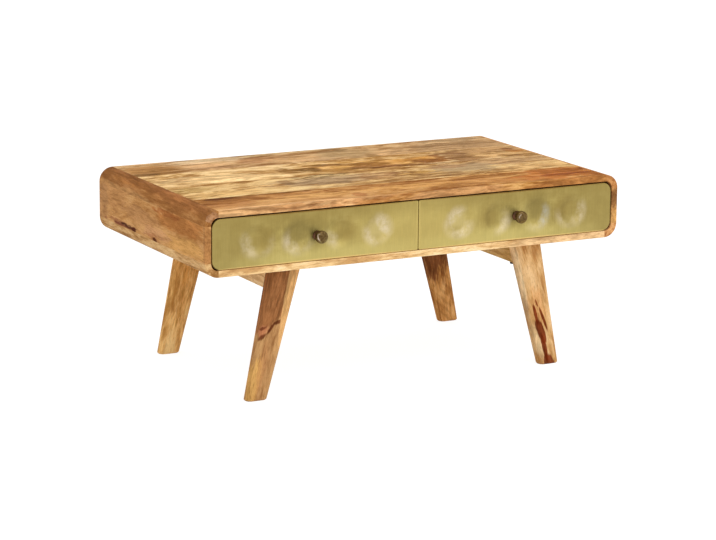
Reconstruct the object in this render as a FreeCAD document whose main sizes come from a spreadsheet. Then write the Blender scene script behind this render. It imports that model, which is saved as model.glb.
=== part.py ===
"""Low coffee table: a tube of boards on four splayed legs, with two brass-fronted drawers.

Millimetres, +Z up, +X to the right and the drawers at the front, towards -Y. The origin lies on
the floor, under the middle of the table with its knobs.
"""
import FreeCAD, Part
import math
import os
from typing import NamedTuple

import Sketcher

SIZES = {
    # the tube of boards
    "overall_width": 900,
    "body_depth": 500,
    "body_height": 126,
    "board_thickness": 13,
    "corner_radius": 28,
    "first_board_share": 0.23,
    "second_board_share": 0.27,
    "third_board_share": 0.25,
    "rim_ease": 1.2,
    "seam_ease": 0.5,
    "back_panel_thickness": 9,
    "back_panel_inset": 8,
    "divider_thickness": 13,
    # the leg frames
    "leg_height": 256,
    "leg_end_inset": 155,
    "leg_front_inset": 26,
    "leg_splay": 60,
    "leg_top_width": 62,
    "leg_top_depth": 44,
    "leg_top_radius": 16,
    "leg_foot_width": 45,
    "leg_foot_depth": 25,
    "leg_foot_radius": 11.5,
    "leg_foot_ease": 2,
    "rail_width": 34,
    "rail_height": 50,
    "rail_offset": 7,
    "rail_ease": 2,
    "bolt_pitch": 20,
    "bolt_end_distance": 14,
    "bolt_shank_radius": 3,
    "bolt_head_radius": 5,
    "bolt_head_height": 5,
    "bolt_head_ease": 1.2,
    "bolt_hole_clearance": 0.2,
    "bolt_grip": 9,
    # the runners
    "runner_height": 8,
    "runner_ledge": 16,
    "guide_thickness": 13,
    "guide_height": 18,
    "run_gap": 0.3,
    "side_clearance": 1,
    # the drawer boxes
    "front_thickness": 19,
    "front_stop_gap": 0.5,
    "box_side_thickness": 12,
    "box_top_gap": 6,
    "box_rear_clearance": 20,
    "box_back_drop": 8,
    "box_edge_ease": 1.5,
    "panel_thickness": 5,
    "panel_groove_depth": 6,
    "panel_lift": 8,
    # the brass pans
    "front_inset": 1,
    "front_side_gap": 1.8,
    "front_top_gap": 2.2,
    "front_bottom_gap": 0.6,
    "front_seam_gap": 0.8,
    "front_corner_radius": 19,
    "seam_corner_radius": 3,
    "sheet_thickness": 1,
    "flange_depth": 17,
    "fold_radius": 1.6,
    "dimple_count": 4,
    "dimple_pitch": 86,
    "dimple_radius": 34,
    "dimple_floor_radius": 11,
    "dimple_depth": 4,
    "dimple_rim_radius": 34,
    "hollow_clearance": 0.3,
    # the knobs
    "knob_length": 24,
    "knob_base_radius": 9.5,
    "knob_base_height": 3,
    "knob_neck_length": 11.5,
    "knob_neck_radius": 9,
    "knob_waist_radius": 6.5,
    "knob_flare": 1.5,
    "knob_head_radius": 12.2,
    "knob_edge_radius": 2.5,
    "knob_crown_radius": 60,
    "knob_bore_depth": 12,
    "screw_radius": 2,
    "screw_bore_clearance": 0.05,
    "screw_hole_clearance": 0.2,
    "screw_head_radius": 4.5,
    "screw_head_height": 3,
    "screw_head_ease": 1,
    "screw_end_gap": 1,
    # how far a cutting solid runs past the piece it cuts
    "overrun": 5,
}

TOLERANCE = 1e-6
SIDE_NAMES = {-1: "left", 1: "right"}
LEVEL_NAMES = {-1: "lower", 1: "upper"}
END_NAMES = {-1: "front", 1: "back"}

doc = FreeCAD.newDocument("CoffeeTable")
sheet = doc.addObject("Spreadsheet::Sheet", "Sizes")
for row, (alias, number) in enumerate(SIZES.items(), start=1):
    sheet.set(f"A{row}", alias)
    sheet.set(f"B{row}", str(number))
    sheet.setAlias(f"B{row}", alias)
doc.recompute()

# Places that several pieces share, as expressions of the sheet's sizes
KNOB_REACH = "(Sizes.knob_length - Sizes.front_inset)"
MIDDLE_Y = f"({KNOB_REACH} / 2)"
FRONT_Y = f"({MIDDLE_Y} - Sizes.body_depth / 2)"
BACK_Y = f"({MIDDLE_Y} + Sizes.body_depth / 2)"
BODY_BOTTOM = "Sizes.leg_height"
BODY_TOP = "(Sizes.leg_height + Sizes.body_height)"
FLOOR_Z = f"({BODY_BOTTOM} + Sizes.board_thickness)"
CEILING_Z = f"({BODY_TOP} - Sizes.board_thickness)"
HALF_WIDTH = "(Sizes.overall_width / 2)"
INNER_HALF = "(Sizes.overall_width / 2 - Sizes.board_thickness)"
INNER_RADIUS = "(Sizes.corner_radius - Sizes.board_thickness)"
DIVIDER_HALF = "(Sizes.divider_thickness / 2)"
PANEL_FRONT_Y = f"({BACK_Y} - Sizes.back_panel_inset - Sizes.back_panel_thickness)"
FACE_Y = f"({FRONT_Y} + Sizes.front_inset)"
FRONT_REAR_Y = f"({FACE_Y} + Sizes.front_thickness)"
STOP_Y = f"({FRONT_REAR_Y} + Sizes.front_stop_gap)"

# The leg frames: the legs' top and foot centres, and the rails between them
LEG_TOP_X = f"({HALF_WIDTH} - Sizes.leg_end_inset - Sizes.leg_top_width / 2)"
LEG_FOOT_X = f"({LEG_TOP_X} + Sizes.leg_splay)"
LEG_Y = "(Sizes.body_depth / 2 - Sizes.leg_front_inset - Sizes.leg_top_depth / 2)"
RAIL_X = f"({LEG_TOP_X} + Sizes.rail_offset)"
RAIL_BOTTOM = "(Sizes.leg_height - Sizes.rail_height)"
RAIL_TOP_REACH = f"({LEG_Y} - Sizes.leg_top_depth / 2)"
LEG_SLOPE = "((Sizes.leg_top_depth - Sizes.leg_foot_depth) / 2 / (Sizes.leg_height - Sizes.leg_foot_ease))"
RAIL_BOTTOM_REACH = f"({RAIL_TOP_REACH} + {LEG_SLOPE} * Sizes.rail_height)"
BOLT_Y = f"({RAIL_TOP_REACH} - Sizes.bolt_end_distance)"

# The drawers, for the right-hand one; the left one is its mirror image
PAN_OUTER = f"({INNER_HALF} - Sizes.front_side_gap)"
PAN_INNER = "(Sizes.front_seam_gap / 2)"
PAN_BOTTOM = f"({FLOOR_Z} + Sizes.front_bottom_gap)"
PAN_TOP = f"({CEILING_Z} - Sizes.front_top_gap)"
PAN_MIDDLE_X = f"(({PAN_OUTER} + {PAN_INNER}) / 2)"
PAN_MIDDLE_Z = f"(({PAN_BOTTOM} + {PAN_TOP}) / 2)"
CORE_FACE_Y = f"({FACE_Y} + Sizes.sheet_thickness)"
BOX_OUTER = f"({INNER_HALF} - Sizes.guide_thickness - Sizes.side_clearance)"
BOX_INNER = f"({DIVIDER_HALF} + Sizes.side_clearance)"
BOX_BOTTOM = f"({FLOOR_Z} + Sizes.runner_height + Sizes.run_gap)"
BOX_TOP = f"({CEILING_Z} - Sizes.box_top_gap)"
BOX_REAR_Y = f"({PANEL_FRONT_Y} - Sizes.box_rear_clearance)"
BOX_LENGTH = f"({BOX_REAR_Y} - {FRONT_REAR_Y})"
BAY_OUTER = f"({BOX_OUTER} - Sizes.box_side_thickness)"
BAY_INNER = f"({BOX_INNER} + Sizes.box_side_thickness)"
PANEL_BOTTOM = f"({BOX_BOTTOM} + Sizes.panel_lift)"
PANEL_TOP = f"({PANEL_BOTTOM} + Sizes.panel_thickness)"


class Step(NamedTuple):
    """One vertex of an outline, with the arc that leads to it, if any.

    A turn of 1 is an anticlockwise arc and a turn of -1 a clockwise one.
    """

    x: str
    y: str
    radius: str = ""
    turn: int = 0


class Corner(NamedTuple):
    """One corner of a square-cut outline, rounded or chamfered by its ease, if any."""

    x: str
    y: str
    ease: str = ""
    rounded: bool = True


def value(expression):
    """The number that an expression of the sheet's sizes gives."""
    return float(sheet.evalExpression(expression))


def signed(sign, expression):
    """The expression, turned negative on the left, lower or front side."""
    return expression if sign > 0 else f"(-{expression})"


def away(corner, other):
    """The direction from a corner to a neighbour on a square-cut outline, as two signs."""
    across = value(other.x) - value(corner.x)
    up = value(other.y) - value(corner.y)
    return (
        0 if abs(across) < TOLERANCE else int(math.copysign(1, across)),
        0 if abs(up) < TOLERANCE else int(math.copysign(1, up)),
    )


def square_cut(corners):
    """The steps of a square-cut outline, with its eased corners rounded or chamfered."""
    steps = []
    for index, corner in enumerate(corners):
        if not corner.ease:
            steps.append(Step(corner.x, corner.y))
            continue
        back = away(corner, corners[index - 1])
        onward = away(corner, corners[(index + 1) % len(corners)])
        turn = onward[0] * back[1] - onward[1] * back[0]
        points = [
            (f"({corner.x} + ({sign_x}) * {corner.ease})", f"({corner.y} + ({sign_y}) * {corner.ease})")
            for sign_x, sign_y in (back, onward)
        ]
        steps.append(Step(*points[0]))
        if corner.rounded:
            steps.append(Step(*points[1], corner.ease, turn))
        else:
            steps.append(Step(*points[1]))
    return steps


def arc_between(start, end, radius, turn):
    """The arc under half a circle from start to end, as a sketch's anticlockwise arc."""
    chord = end - start
    height = math.sqrt(max(radius ** 2 - chord.Length ** 2 / 4, 0))
    across = FreeCAD.Vector(-chord.y, chord.x, 0).normalize()
    centre = (start + end) / 2 + across * (turn * height)
    first, last = (start, end) if turn > 0 else (end, start)
    angles = [math.atan2(point.y - centre.y, point.x - centre.x) for point in (first, last)]
    if angles[1] < angles[0]:
        angles[1] += 2 * math.pi
    circle = Part.Circle(centre, FreeCAD.Vector(0, 0, 1), radius)
    return Part.ArcOfCircle(circle, *angles)


def hold(sketch, name, constraint, expression):
    """Adds a dimension to a sketch and binds it to the sheet."""
    index = sketch.addConstraint(constraint)
    sketch.renameConstraint(index, name)
    sketch.setExpression(f".Constraints.{name}", expression)


def fix_point(sketch, name, geometry, position, x, y):
    """Places a point of a sketch by its two distances from the sketch's origin."""
    for kind, axis, expression in (("DistanceX", -2, x), ("DistanceY", -1, y)):
        if expression == "0":
            sketch.addConstraint(Sketcher.Constraint("PointOnObject", geometry, position, axis))
            continue
        distance = Sketcher.Constraint(kind, -1, 1, geometry, position, value(expression))
        hold(sketch, f"{name}_{kind}", distance, expression)


def draw(sketch, steps):
    """Draws a closed outline, each vertex placed by its own two dimensions."""
    points = [FreeCAD.Vector(value(step.x), value(step.y), 0) for step in steps]
    ends = []
    for index, step in enumerate(steps):
        start, end = points[index - 1], points[index]
        if step.radius:
            geometry = sketch.addGeometry(arc_between(start, end, value(step.radius), step.turn), False)
            ends.append((geometry, 1, 2) if step.turn > 0 else (geometry, 2, 1))
        else:
            geometry = sketch.addGeometry(Part.LineSegment(start, end), False)
            ends.append((geometry, 1, 2))
    for index, (geometry, first, last) in enumerate(ends):
        following, following_first, following_last = ends[(index + 1) % len(ends)]
        sketch.addConstraint(Sketcher.Constraint("Coincident", geometry, last, following, following_first))
        fix_point(sketch, f"vertex_{index}", geometry, last, steps[index].x, steps[index].y)
        if steps[index].radius:
            radius = Sketcher.Constraint("Radius", geometry, value(steps[index].radius))
            hold(sketch, f"radius_{index}", radius, steps[index].radius)


def draw_circles(sketch, centres, radius):
    """Draws equal circles about the given centres."""
    for index, (x, y) in enumerate(centres):
        centre = FreeCAD.Vector(value(x), value(y), 0)
        circle = Part.Circle(centre, FreeCAD.Vector(0, 0, 1), value(radius))
        geometry = sketch.addGeometry(circle, False)
        fix_point(sketch, f"centre_{index}", geometry, 3, x, y)
        size = Sketcher.Constraint("Radius", geometry, value(radius))
        hold(sketch, f"radius_{index}", size, radius)


def new_body(label):
    """A body for one piece, named after it."""
    body = doc.addObject("PartDesign::Body", label)
    body.Label = label
    return body


def new_sketch(body, name, role, offset=("0", "0", "0")):
    """A sketch on one of the body's origin planes, shifted by the offset in the plane's own axes."""
    sketch = body.newObject("Sketcher::SketchObject", f"{body.Name}_{name}")
    plane = next(item for item in body.Origin.OriginFeatures if item.Role == role)
    sketch.AttachmentSupport = (plane, [""])
    sketch.MapMode = "FlatFace"
    for axis, expression in zip("xyz", offset):
        sketch.setExpression(f"AttachmentOffset.Base.{axis}", expression)
    return sketch


def extrude(body, kind, sketch, length, *, reverse=False, symmetric=False):
    """A pad or a pocket of a sketch."""
    feature = body.newObject(f"PartDesign::{kind}", f"{sketch.Name}_{kind}")
    feature.Profile = sketch
    feature.Reversed = reverse
    if symmetric:
        feature.SideType = "Symmetric"
    feature.setExpression("Length", length)
    doc.recompute()
    return feature


def pocket(body, sketch, length, *, reverse=False):
    """A pocket, which must take material away."""
    before = body.Shape.Volume
    feature = extrude(body, "Pocket", sketch, length, reverse=reverse)
    if body.Shape.Volume >= before - TOLERANCE:
        raise RuntimeError(f"{sketch.Name} cuts nothing")
    return feature


def turn_round(body, kind, sketch):
    """A revolution or a groove of a sketch about its own vertical axis."""
    feature = body.newObject(f"PartDesign::{kind}", f"{sketch.Name}_{kind}")
    feature.Profile = sketch
    feature.ReferenceAxis = (sketch, ["V_Axis"])
    feature.Angle = 360
    doc.recompute()
    return feature


def ease_edges(body, name, radius, wanted):
    """Rounds the edges of a body that a test picks out."""
    tip = body.Tip
    names = [f"Edge{index}" for index, edge in enumerate(tip.Shape.Edges, start=1) if wanted(edge)]
    fillet = body.newObject("PartDesign::Fillet", f"{body.Name}_{name}")
    fillet.Base = (tip, names)
    fillet.setExpression("Radius", radius)
    doc.recompute()
    return fillet


def in_plane(edge, axis, place):
    """Whether an edge lies wholly in the plane where one coordinate has the given value."""
    box = edge.BoundBox
    low, high = getattr(box, f"{axis}Min"), getattr(box, f"{axis}Max")
    return abs(low - place) < TOLERANCE and abs(high - place) < TOLERANCE


def upright_prism(label, steps, front_y, length):
    """A piece of constant section in X and Z, padded backwards from the plane at front_y."""
    body = new_body(label)
    sketch = new_sketch(body, "section", "XZ_Plane", ("0", "0", f"(-{front_y})"))
    draw(sketch, steps)
    extrude(body, "Pad", sketch, length, reverse=True)
    return body


# The tube of boards

def corner_block(side, level):
    """A quarter-round block that joins a side board to the top or the bottom."""
    centre_x = f"({HALF_WIDTH} - Sizes.corner_radius)"
    outer_z = BODY_TOP if level > 0 else BODY_BOTTOM
    centre_z = f"({outer_z} - ({level}) * Sizes.corner_radius)"
    inner_z = f"({outer_z} - ({level}) * Sizes.board_thickness)"
    turn = side * level
    steps = [
        Step(signed(side, HALF_WIDTH), centre_z),
        Step(signed(side, centre_x), outer_z, "Sizes.corner_radius", turn),
        Step(signed(side, centre_x), inner_z),
        Step(signed(side, INNER_HALF), centre_z, INNER_RADIUS, -turn),
    ]
    label = f"corner_block_{LEVEL_NAMES[level]}_{SIDE_NAMES[side]}"
    body = upright_prism(label, steps, FRONT_Y, "Sizes.body_depth")
    ends = (value(FRONT_Y), value(BACK_Y))
    ease_edges(
        body, "rim", "Sizes.rim_ease",
        lambda edge: edge.Curve.TypeId == "Part::GeomCircle"
        and any(in_plane(edge, "Y", end) for end in ends),
    )
    return body


def side_board(side):
    """The board at one end, between its two corner blocks."""
    ease = "Sizes.rim_ease"
    outer, inner = signed(side, HALF_WIDTH), signed(side, INNER_HALF)
    body = new_body(f"side_board_{SIDE_NAMES[side]}")
    sketch = new_sketch(body, "plan", "XY_Plane", ("0", "0", f"({BODY_BOTTOM} + Sizes.corner_radius)"))
    draw(sketch, square_cut([
        Corner(outer, FRONT_Y, ease),
        Corner(outer, BACK_Y, ease),
        Corner(inner, BACK_Y, ease),
        Corner(inner, FRONT_Y, ease),
    ]))
    extrude(body, "Pad", sketch, "(Sizes.body_height - 2 * Sizes.corner_radius)")
    return body


def long_boards(level, name):
    """The four boards of the top or the bottom, from the front to the back."""
    seams = [FRONT_Y]
    for share in ("Sizes.first_board_share", "Sizes.second_board_share", "Sizes.third_board_share"):
        seams.append(f"({seams[-1]} + {share} * Sizes.body_depth)")
    seams.append(BACK_Y)
    outer_z = BODY_TOP if level > 0 else BODY_BOTTOM
    inner_z = CEILING_Z if level > 0 else FLOOR_Z
    boards = []
    for index in range(len(seams) - 1):
        near, far = seams[index], seams[index + 1]
        near_rim, far_rim = index == 0, index == len(seams) - 2
        body = new_body(f"{name}_board_{index + 1}")
        sketch = new_sketch(body, "section", "YZ_Plane")
        draw(sketch, square_cut([
            Corner(near, inner_z, "Sizes.rim_ease" if near_rim else ""),
            Corner(far, inner_z, "Sizes.rim_ease" if far_rim else ""),
            Corner(far, outer_z, "Sizes.rim_ease" if far_rim else "Sizes.seam_ease", far_rim),
            Corner(near, outer_z, "Sizes.rim_ease" if near_rim else "Sizes.seam_ease", near_rim),
        ]))
        extrude(body, "Pad", sketch, "(Sizes.overall_width - 2 * Sizes.corner_radius)", symmetric=True)
        boards.append(body)
    return boards


def back_panel():
    """The panel let into the back of the tube."""
    steps = square_cut([
        Corner(signed(sign_x, INNER_HALF), z, INNER_RADIUS)
        for sign_x, z in ((-1, FLOOR_Z), (1, FLOOR_Z), (1, CEILING_Z), (-1, CEILING_Z))
    ])
    return upright_prism("back_panel", steps, PANEL_FRONT_Y, "Sizes.back_panel_thickness")


def block(label, left, right, bottom, top, front_y, length):
    """A plain rectangular board, given by its section and its length backwards."""
    corners = [Corner(left, bottom), Corner(right, bottom), Corner(right, top), Corner(left, top)]
    return upright_prism(label, square_cut(corners), front_y, length)


def centre_divider():
    """The upright board between the two drawers, behind their fronts."""
    return block(
        "centre_divider", signed(-1, DIVIDER_HALF), DIVIDER_HALF, FLOOR_Z, CEILING_Z,
        STOP_Y, f"({PANEL_FRONT_Y} - {STOP_Y})",
    )


def outer_runner(side):
    """The runner at the outer wall, with its upright guide and its back coved to the corner block."""
    wall = signed(side, INNER_HALF)
    guide_face = signed(side, f"({INNER_HALF} - Sizes.guide_thickness)")
    ledge_edge = signed(side, f"({INNER_HALF} - Sizes.guide_thickness - Sizes.runner_ledge)")
    ledge_z = f"({FLOOR_Z} + Sizes.runner_height)"
    guide_z = f"({ledge_z} + Sizes.guide_height)"
    steps = square_cut([
        Corner(wall, FLOOR_Z, INNER_RADIUS),
        Corner(wall, guide_z),
        Corner(guide_face, guide_z),
        Corner(guide_face, ledge_z),
        Corner(ledge_edge, ledge_z),
        Corner(ledge_edge, FLOOR_Z),
    ])
    return upright_prism(
        f"runner_{SIDE_NAMES[side]}_outer", steps, STOP_Y, f"({PANEL_FRONT_Y} - {STOP_Y})")


def inner_runner(side):
    """The runner beside the divider, which is the guide there."""
    far = f"({DIVIDER_HALF} + Sizes.runner_ledge)"
    return block(
        f"runner_{SIDE_NAMES[side]}_inner", signed(side, DIVIDER_HALF), signed(side, far),
        FLOOR_Z, f"({FLOOR_Z} + Sizes.runner_height)", STOP_Y, f"({PANEL_FRONT_Y} - {STOP_Y})",
    )


# The leg frames

def leg_section(body, name, height, centre, half_width, half_depth, radius):
    """A rounded rectangle about a centre, level with the floor at the given height."""
    sketch = new_sketch(body, name, "XY_Plane", (*centre, height))
    draw(sketch, square_cut([
        Corner(signed(sign_x, half_width), signed(sign_y, half_depth), radius)
        for sign_x, sign_y in ((-1, -1), (1, -1), (1, 1), (-1, 1))
    ]))
    return sketch


def leg(side, end):
    """A leg that tapers to the floor, leans out to its end of the table and has an eased sole."""
    body = new_body(f"leg_{END_NAMES[end]}_{SIDE_NAMES[side]}")
    y = f"({MIDDLE_Y} + ({end}) * {LEG_Y})"
    ease = "Sizes.leg_foot_ease"
    foot_width, foot_depth = "Sizes.leg_foot_width / 2", "Sizes.leg_foot_depth / 2"
    top = leg_section(
        body, "top", "Sizes.leg_height", (signed(side, LEG_TOP_X), y),
        "(Sizes.leg_top_width / 2)", "(Sizes.leg_top_depth / 2)", "Sizes.leg_top_radius")
    foot = leg_section(
        body, "foot", ease, (signed(side, LEG_FOOT_X), y),
        f"({foot_width})", f"({foot_depth})", "Sizes.leg_foot_radius")
    sole = leg_section(
        body, "sole", "0", (signed(side, LEG_FOOT_X), y),
        f"({foot_width} - {ease})", f"({foot_depth} - {ease})", f"(Sizes.leg_foot_radius - {ease})")
    loft = body.newObject("PartDesign::AdditiveLoft", f"{body.Name}_loft")
    loft.Profile = sole
    loft.Sections = [foot, top]
    loft.Ruled = True
    doc.recompute()
    return body


def bolt_places(side):
    """The centres of one rail's four bolts."""
    rail_x = signed(side, RAIL_X)
    return [
        (f"({rail_x} + ({across}) * Sizes.bolt_pitch / 2)", f"({MIDDLE_Y} + ({end}) * {BOLT_Y})")
        for end in END_NAMES for across in (-1, 1)
    ]


def leg_rail(side):
    """The rail under the body from one front leg to the back leg behind it."""
    body = new_body(f"leg_rail_{SIDE_NAMES[side]}")
    sketch = new_sketch(body, "side", "YZ_Plane", ("0", "0", signed(side, RAIL_X)))
    draw(sketch, [
        Step(f"({MIDDLE_Y} - {RAIL_BOTTOM_REACH})", RAIL_BOTTOM),
        Step(f"({MIDDLE_Y} + {RAIL_BOTTOM_REACH})", RAIL_BOTTOM),
        Step(f"({MIDDLE_Y} + {RAIL_TOP_REACH})", BODY_BOTTOM),
        Step(f"({MIDDLE_Y} - {RAIL_TOP_REACH})", BODY_BOTTOM),
    ])
    extrude(body, "Pad", sketch, "Sizes.rail_width", symmetric=True)
    bottom = value(RAIL_BOTTOM)
    ease_edges(
        body, "arris", "Sizes.rail_ease",
        lambda edge: in_plane(edge, "Z", bottom) and edge.BoundBox.YLength > edge.BoundBox.XLength)
    holes = new_sketch(body, "holes", "XY_Plane", ("0", "0", RAIL_BOTTOM))
    draw_circles(holes, bolt_places(side), "(Sizes.bolt_shank_radius + Sizes.bolt_hole_clearance)")
    pocket(body, holes, "Sizes.rail_height", reverse=True)
    return body


def rail_bolts():
    """The eight bolts that hold the rails up to the body, and the drillings for them in the bottom."""
    bolts, drillings = [], []
    for side in SIDE_NAMES:
        for index, (x, y) in enumerate(bolt_places(side)):
            bolt = new_body(f"bolt_{SIDE_NAMES[side]}_{index}")
            sketch = new_sketch(bolt, "profile", "XZ_Plane", (x, RAIL_BOTTOM, f"(-{y})"))
            draw(sketch, square_cut([
                Corner("0", "(-Sizes.bolt_head_height)"),
                Corner("Sizes.bolt_head_radius", "(-Sizes.bolt_head_height)", "Sizes.bolt_head_ease"),
                Corner("Sizes.bolt_head_radius", "0"),
                Corner("Sizes.bolt_shank_radius", "0"),
                Corner("Sizes.bolt_shank_radius", "(Sizes.rail_height + Sizes.bolt_grip)"),
                Corner("0", "(Sizes.rail_height + Sizes.bolt_grip)"),
            ]))
            turn_round(bolt, "Revolution", sketch)
            bolts.append(bolt)
            drilling = doc.addObject("Part::Cylinder", f"{bolt.Name}_drilling")
            drilling.setExpression("Radius", "(Sizes.bolt_shank_radius + Sizes.bolt_hole_clearance)")
            drilling.setExpression("Height", "(Sizes.overrun + Sizes.bolt_grip + Sizes.bolt_hole_clearance)")
            drilling.setExpression("Placement.Base.x", x)
            drilling.setExpression("Placement.Base.y", y)
            drilling.setExpression("Placement.Base.z", f"({BODY_BOTTOM} - Sizes.overrun)")
            drillings.append(drilling)
    group = doc.addObject("Part::Compound", "rail_bolts")
    group.Links = bolts
    tool = doc.addObject("Part::Compound", "bolt_drillings")
    tool.Links = drillings
    doc.recompute()
    return group, tool


def drilled(board, tool):
    """A bottom board with the bolts' drillings in its underside."""
    label = board.Label
    board.Label = f"{label}_blank"
    cut = doc.addObject("Part::Cut", f"{board.Name}_drilled")
    cut.Base = board
    cut.Tool = tool
    cut.Label = label
    return cut


# The drawers

def front_outline(side, inward):
    """The outline of a drawer front, drawn in by the same distance all round."""
    outer = signed(side, f"({PAN_OUTER} - {inward})")
    inner = signed(side, f"({PAN_INNER} + {inward})")
    bottom, top = f"({PAN_BOTTOM} + {inward})", f"({PAN_TOP} - {inward})"
    outer_radius = f"(Sizes.front_corner_radius - {inward})"
    inner_radius = f"(Sizes.seam_corner_radius - {inward})"
    return square_cut([
        Corner(inner, bottom, inner_radius),
        Corner(outer, bottom, outer_radius),
        Corner(outer, top, outer_radius),
        Corner(inner, top, inner_radius),
    ])


def dimple_steps(back_offset, front_edge):
    """Half the section of a dimple, from its axis out, on the front or the back of the sheet.

    The floor is flat, and two arcs that meet at a common tangent lead up to the rim, where the
    outer one runs out into the sheet's flat.
    """
    flank = "(Sizes.dimple_radius - Sizes.dimple_floor_radius)"
    half_turn = f"(Sizes.dimple_depth / {flank})"
    sine = f"(2 * {half_turn} / (1 + {half_turn} ^ 2))"
    drop = f"(2 * {half_turn} ^ 2 / (1 + {half_turn} ^ 2))"
    floor_arc = f"({flank} / {sine} - Sizes.dimple_rim_radius)"
    rim_arc = f"(Sizes.dimple_rim_radius - {back_offset})"
    meeting_x = f"(Sizes.dimple_radius - {rim_arc} * {sine})"
    meeting_y = f"({back_offset} + {rim_arc} * {drop})"
    floor_y = f"({back_offset} + Sizes.dimple_depth)"
    return [
        Step("0", front_edge),
        Step("Sizes.dimple_radius", front_edge),
        Step("Sizes.dimple_radius", back_offset),
        Step(meeting_x, meeting_y, rim_arc, -1),
        Step("Sizes.dimple_floor_radius", floor_y, f"({floor_arc} + {back_offset})", 1),
        Step("0", floor_y),
    ]


def first_dimple_x(side):
    """The centre of the leftmost dimple of a drawer."""
    return f"({signed(side, PAN_MIDDLE_X)} - Sizes.dimple_pitch * (Sizes.dimple_count - 1) / 2)"


def knob_hole(body, side, start_y):
    """Bores a drawer front's piece through for the knob's screw."""
    sketch = new_sketch(body, "knob_hole", "XZ_Plane", ("0", "0", f"(-{start_y})"))
    centre = (signed(side, PAN_MIDDLE_X), PAN_MIDDLE_Z)
    draw_circles(sketch, [centre], "(Sizes.screw_radius + Sizes.screw_hole_clearance)")
    return pocket(body, sketch, "(Sizes.front_thickness + Sizes.overrun)")


def brass_pan(side):
    """The pressed sheet over a drawer front: a flat face, a folded edge all round and a row of dimples."""
    body = upright_prism(
        f"{SIDE_NAMES[side]}_drawer_brass", front_outline(side, "0"), FACE_Y, "Sizes.flange_depth")
    face_y = value(FACE_Y)
    ease_edges(body, "outer_fold", "Sizes.fold_radius", lambda edge: in_plane(edge, "Y", face_y))
    inside = new_sketch(body, "inside", "XZ_Plane", ("0", "0", f"(-{CORE_FACE_Y})"))
    draw(inside, front_outline(side, "Sizes.sheet_thickness"))
    pocket(body, inside, "Sizes.flange_depth")
    inside_y = value(CORE_FACE_Y)
    ease_edges(
        body, "inner_fold", "(Sizes.fold_radius - Sizes.sheet_thickness)",
        lambda edge: in_plane(edge, "Y", inside_y))
    offset = (first_dimple_x(side), FACE_Y, PAN_MIDDLE_Z)
    back = new_sketch(body, "dimple_back", "XY_Plane", offset)
    draw(back, dimple_steps("Sizes.sheet_thickness", "(Sizes.sheet_thickness / 2)"))
    bulge = turn_round(body, "Revolution", back)
    front = new_sketch(body, "dimple_front", "XY_Plane", offset)
    draw(front, dimple_steps("0", "(-Sizes.sheet_thickness)"))
    dish = turn_round(body, "Groove", front)
    row_of_dimples = body.newObject("PartDesign::LinearPattern", f"{body.Name}_dimples")
    row_of_dimples.Originals = [bulge, dish]
    row_of_dimples.Direction = (front, ["H_Axis"])
    row_of_dimples.setExpression("Length", "(Sizes.dimple_pitch * (Sizes.dimple_count - 1))")
    row_of_dimples.setExpression("Occurrences", "Sizes.dimple_count")
    body.Tip = row_of_dimples
    doc.recompute()
    knob_hole(body, side, FACE_Y)
    return body


def front_board(side):
    """The wooden front inside the brass pan, bored out behind the dimples."""
    inward = "Sizes.sheet_thickness"
    body = upright_prism(
        f"{SIDE_NAMES[side]}_drawer_front", front_outline(side, inward), CORE_FACE_Y,
        "(Sizes.front_thickness - Sizes.sheet_thickness)")
    face_y = value(CORE_FACE_Y)
    ease_edges(
        body, "fold", "(Sizes.fold_radius - Sizes.sheet_thickness)",
        lambda edge: in_plane(edge, "Y", face_y))
    hollows = new_sketch(body, "hollows", "XZ_Plane", ("0", "0", f"(-{CORE_FACE_Y})"))
    centres = [
        (f"({first_dimple_x(side)} + {index} * Sizes.dimple_pitch)", PAN_MIDDLE_Z)
        for index in range(round(value("Sizes.dimple_count")))
    ]
    draw_circles(hollows, centres, "Sizes.dimple_radius")
    pocket(body, hollows, "(Sizes.dimple_depth + Sizes.hollow_clearance)")
    groove = new_sketch(body, "groove", "XZ_Plane", ("0", "0", f"(-{FRONT_REAR_Y})"))
    near = signed(side, f"({BAY_INNER} - Sizes.panel_groove_depth)")
    far = signed(side, f"({BAY_OUTER} + Sizes.panel_groove_depth)")
    draw(groove, square_cut([
        Corner(near, PANEL_BOTTOM),
        Corner(far, PANEL_BOTTOM),
        Corner(far, PANEL_TOP),
        Corner(near, PANEL_TOP),
    ]))
    pocket(body, groove, "Sizes.panel_groove_depth", reverse=True)
    knob_hole(body, side, CORE_FACE_Y)
    return body


def box_side(side, name, face, inside):
    """A drawer side with the groove that holds the bottom panel on its inner face."""
    outward = 1 if value(face) > value(inside) else -1
    groove_x = f"({inside} + ({outward}) * Sizes.panel_groove_depth)"
    ease = "Sizes.box_edge_ease"
    corners = [
        Corner(face, BOX_BOTTOM),
        Corner(inside, BOX_BOTTOM),
        Corner(inside, PANEL_BOTTOM),
        Corner(groove_x, PANEL_BOTTOM),
        Corner(groove_x, PANEL_TOP),
        Corner(inside, PANEL_TOP),
        Corner(inside, BOX_TOP, ease),
        Corner(face, BOX_TOP, ease),
    ]
    return upright_prism(
        f"{SIDE_NAMES[side]}_drawer_side_{name}", square_cut(corners), FRONT_REAR_Y, BOX_LENGTH)


def box_back(side):
    """The drawer's back, which stands on the bottom panel between the sides."""
    return block(
        f"{SIDE_NAMES[side]}_drawer_back", signed(side, BAY_INNER), signed(side, BAY_OUTER),
        PANEL_TOP, f"({BOX_TOP} - Sizes.box_back_drop)",
        f"({BOX_REAR_Y} - Sizes.box_side_thickness)", "Sizes.box_side_thickness",
    )


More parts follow.
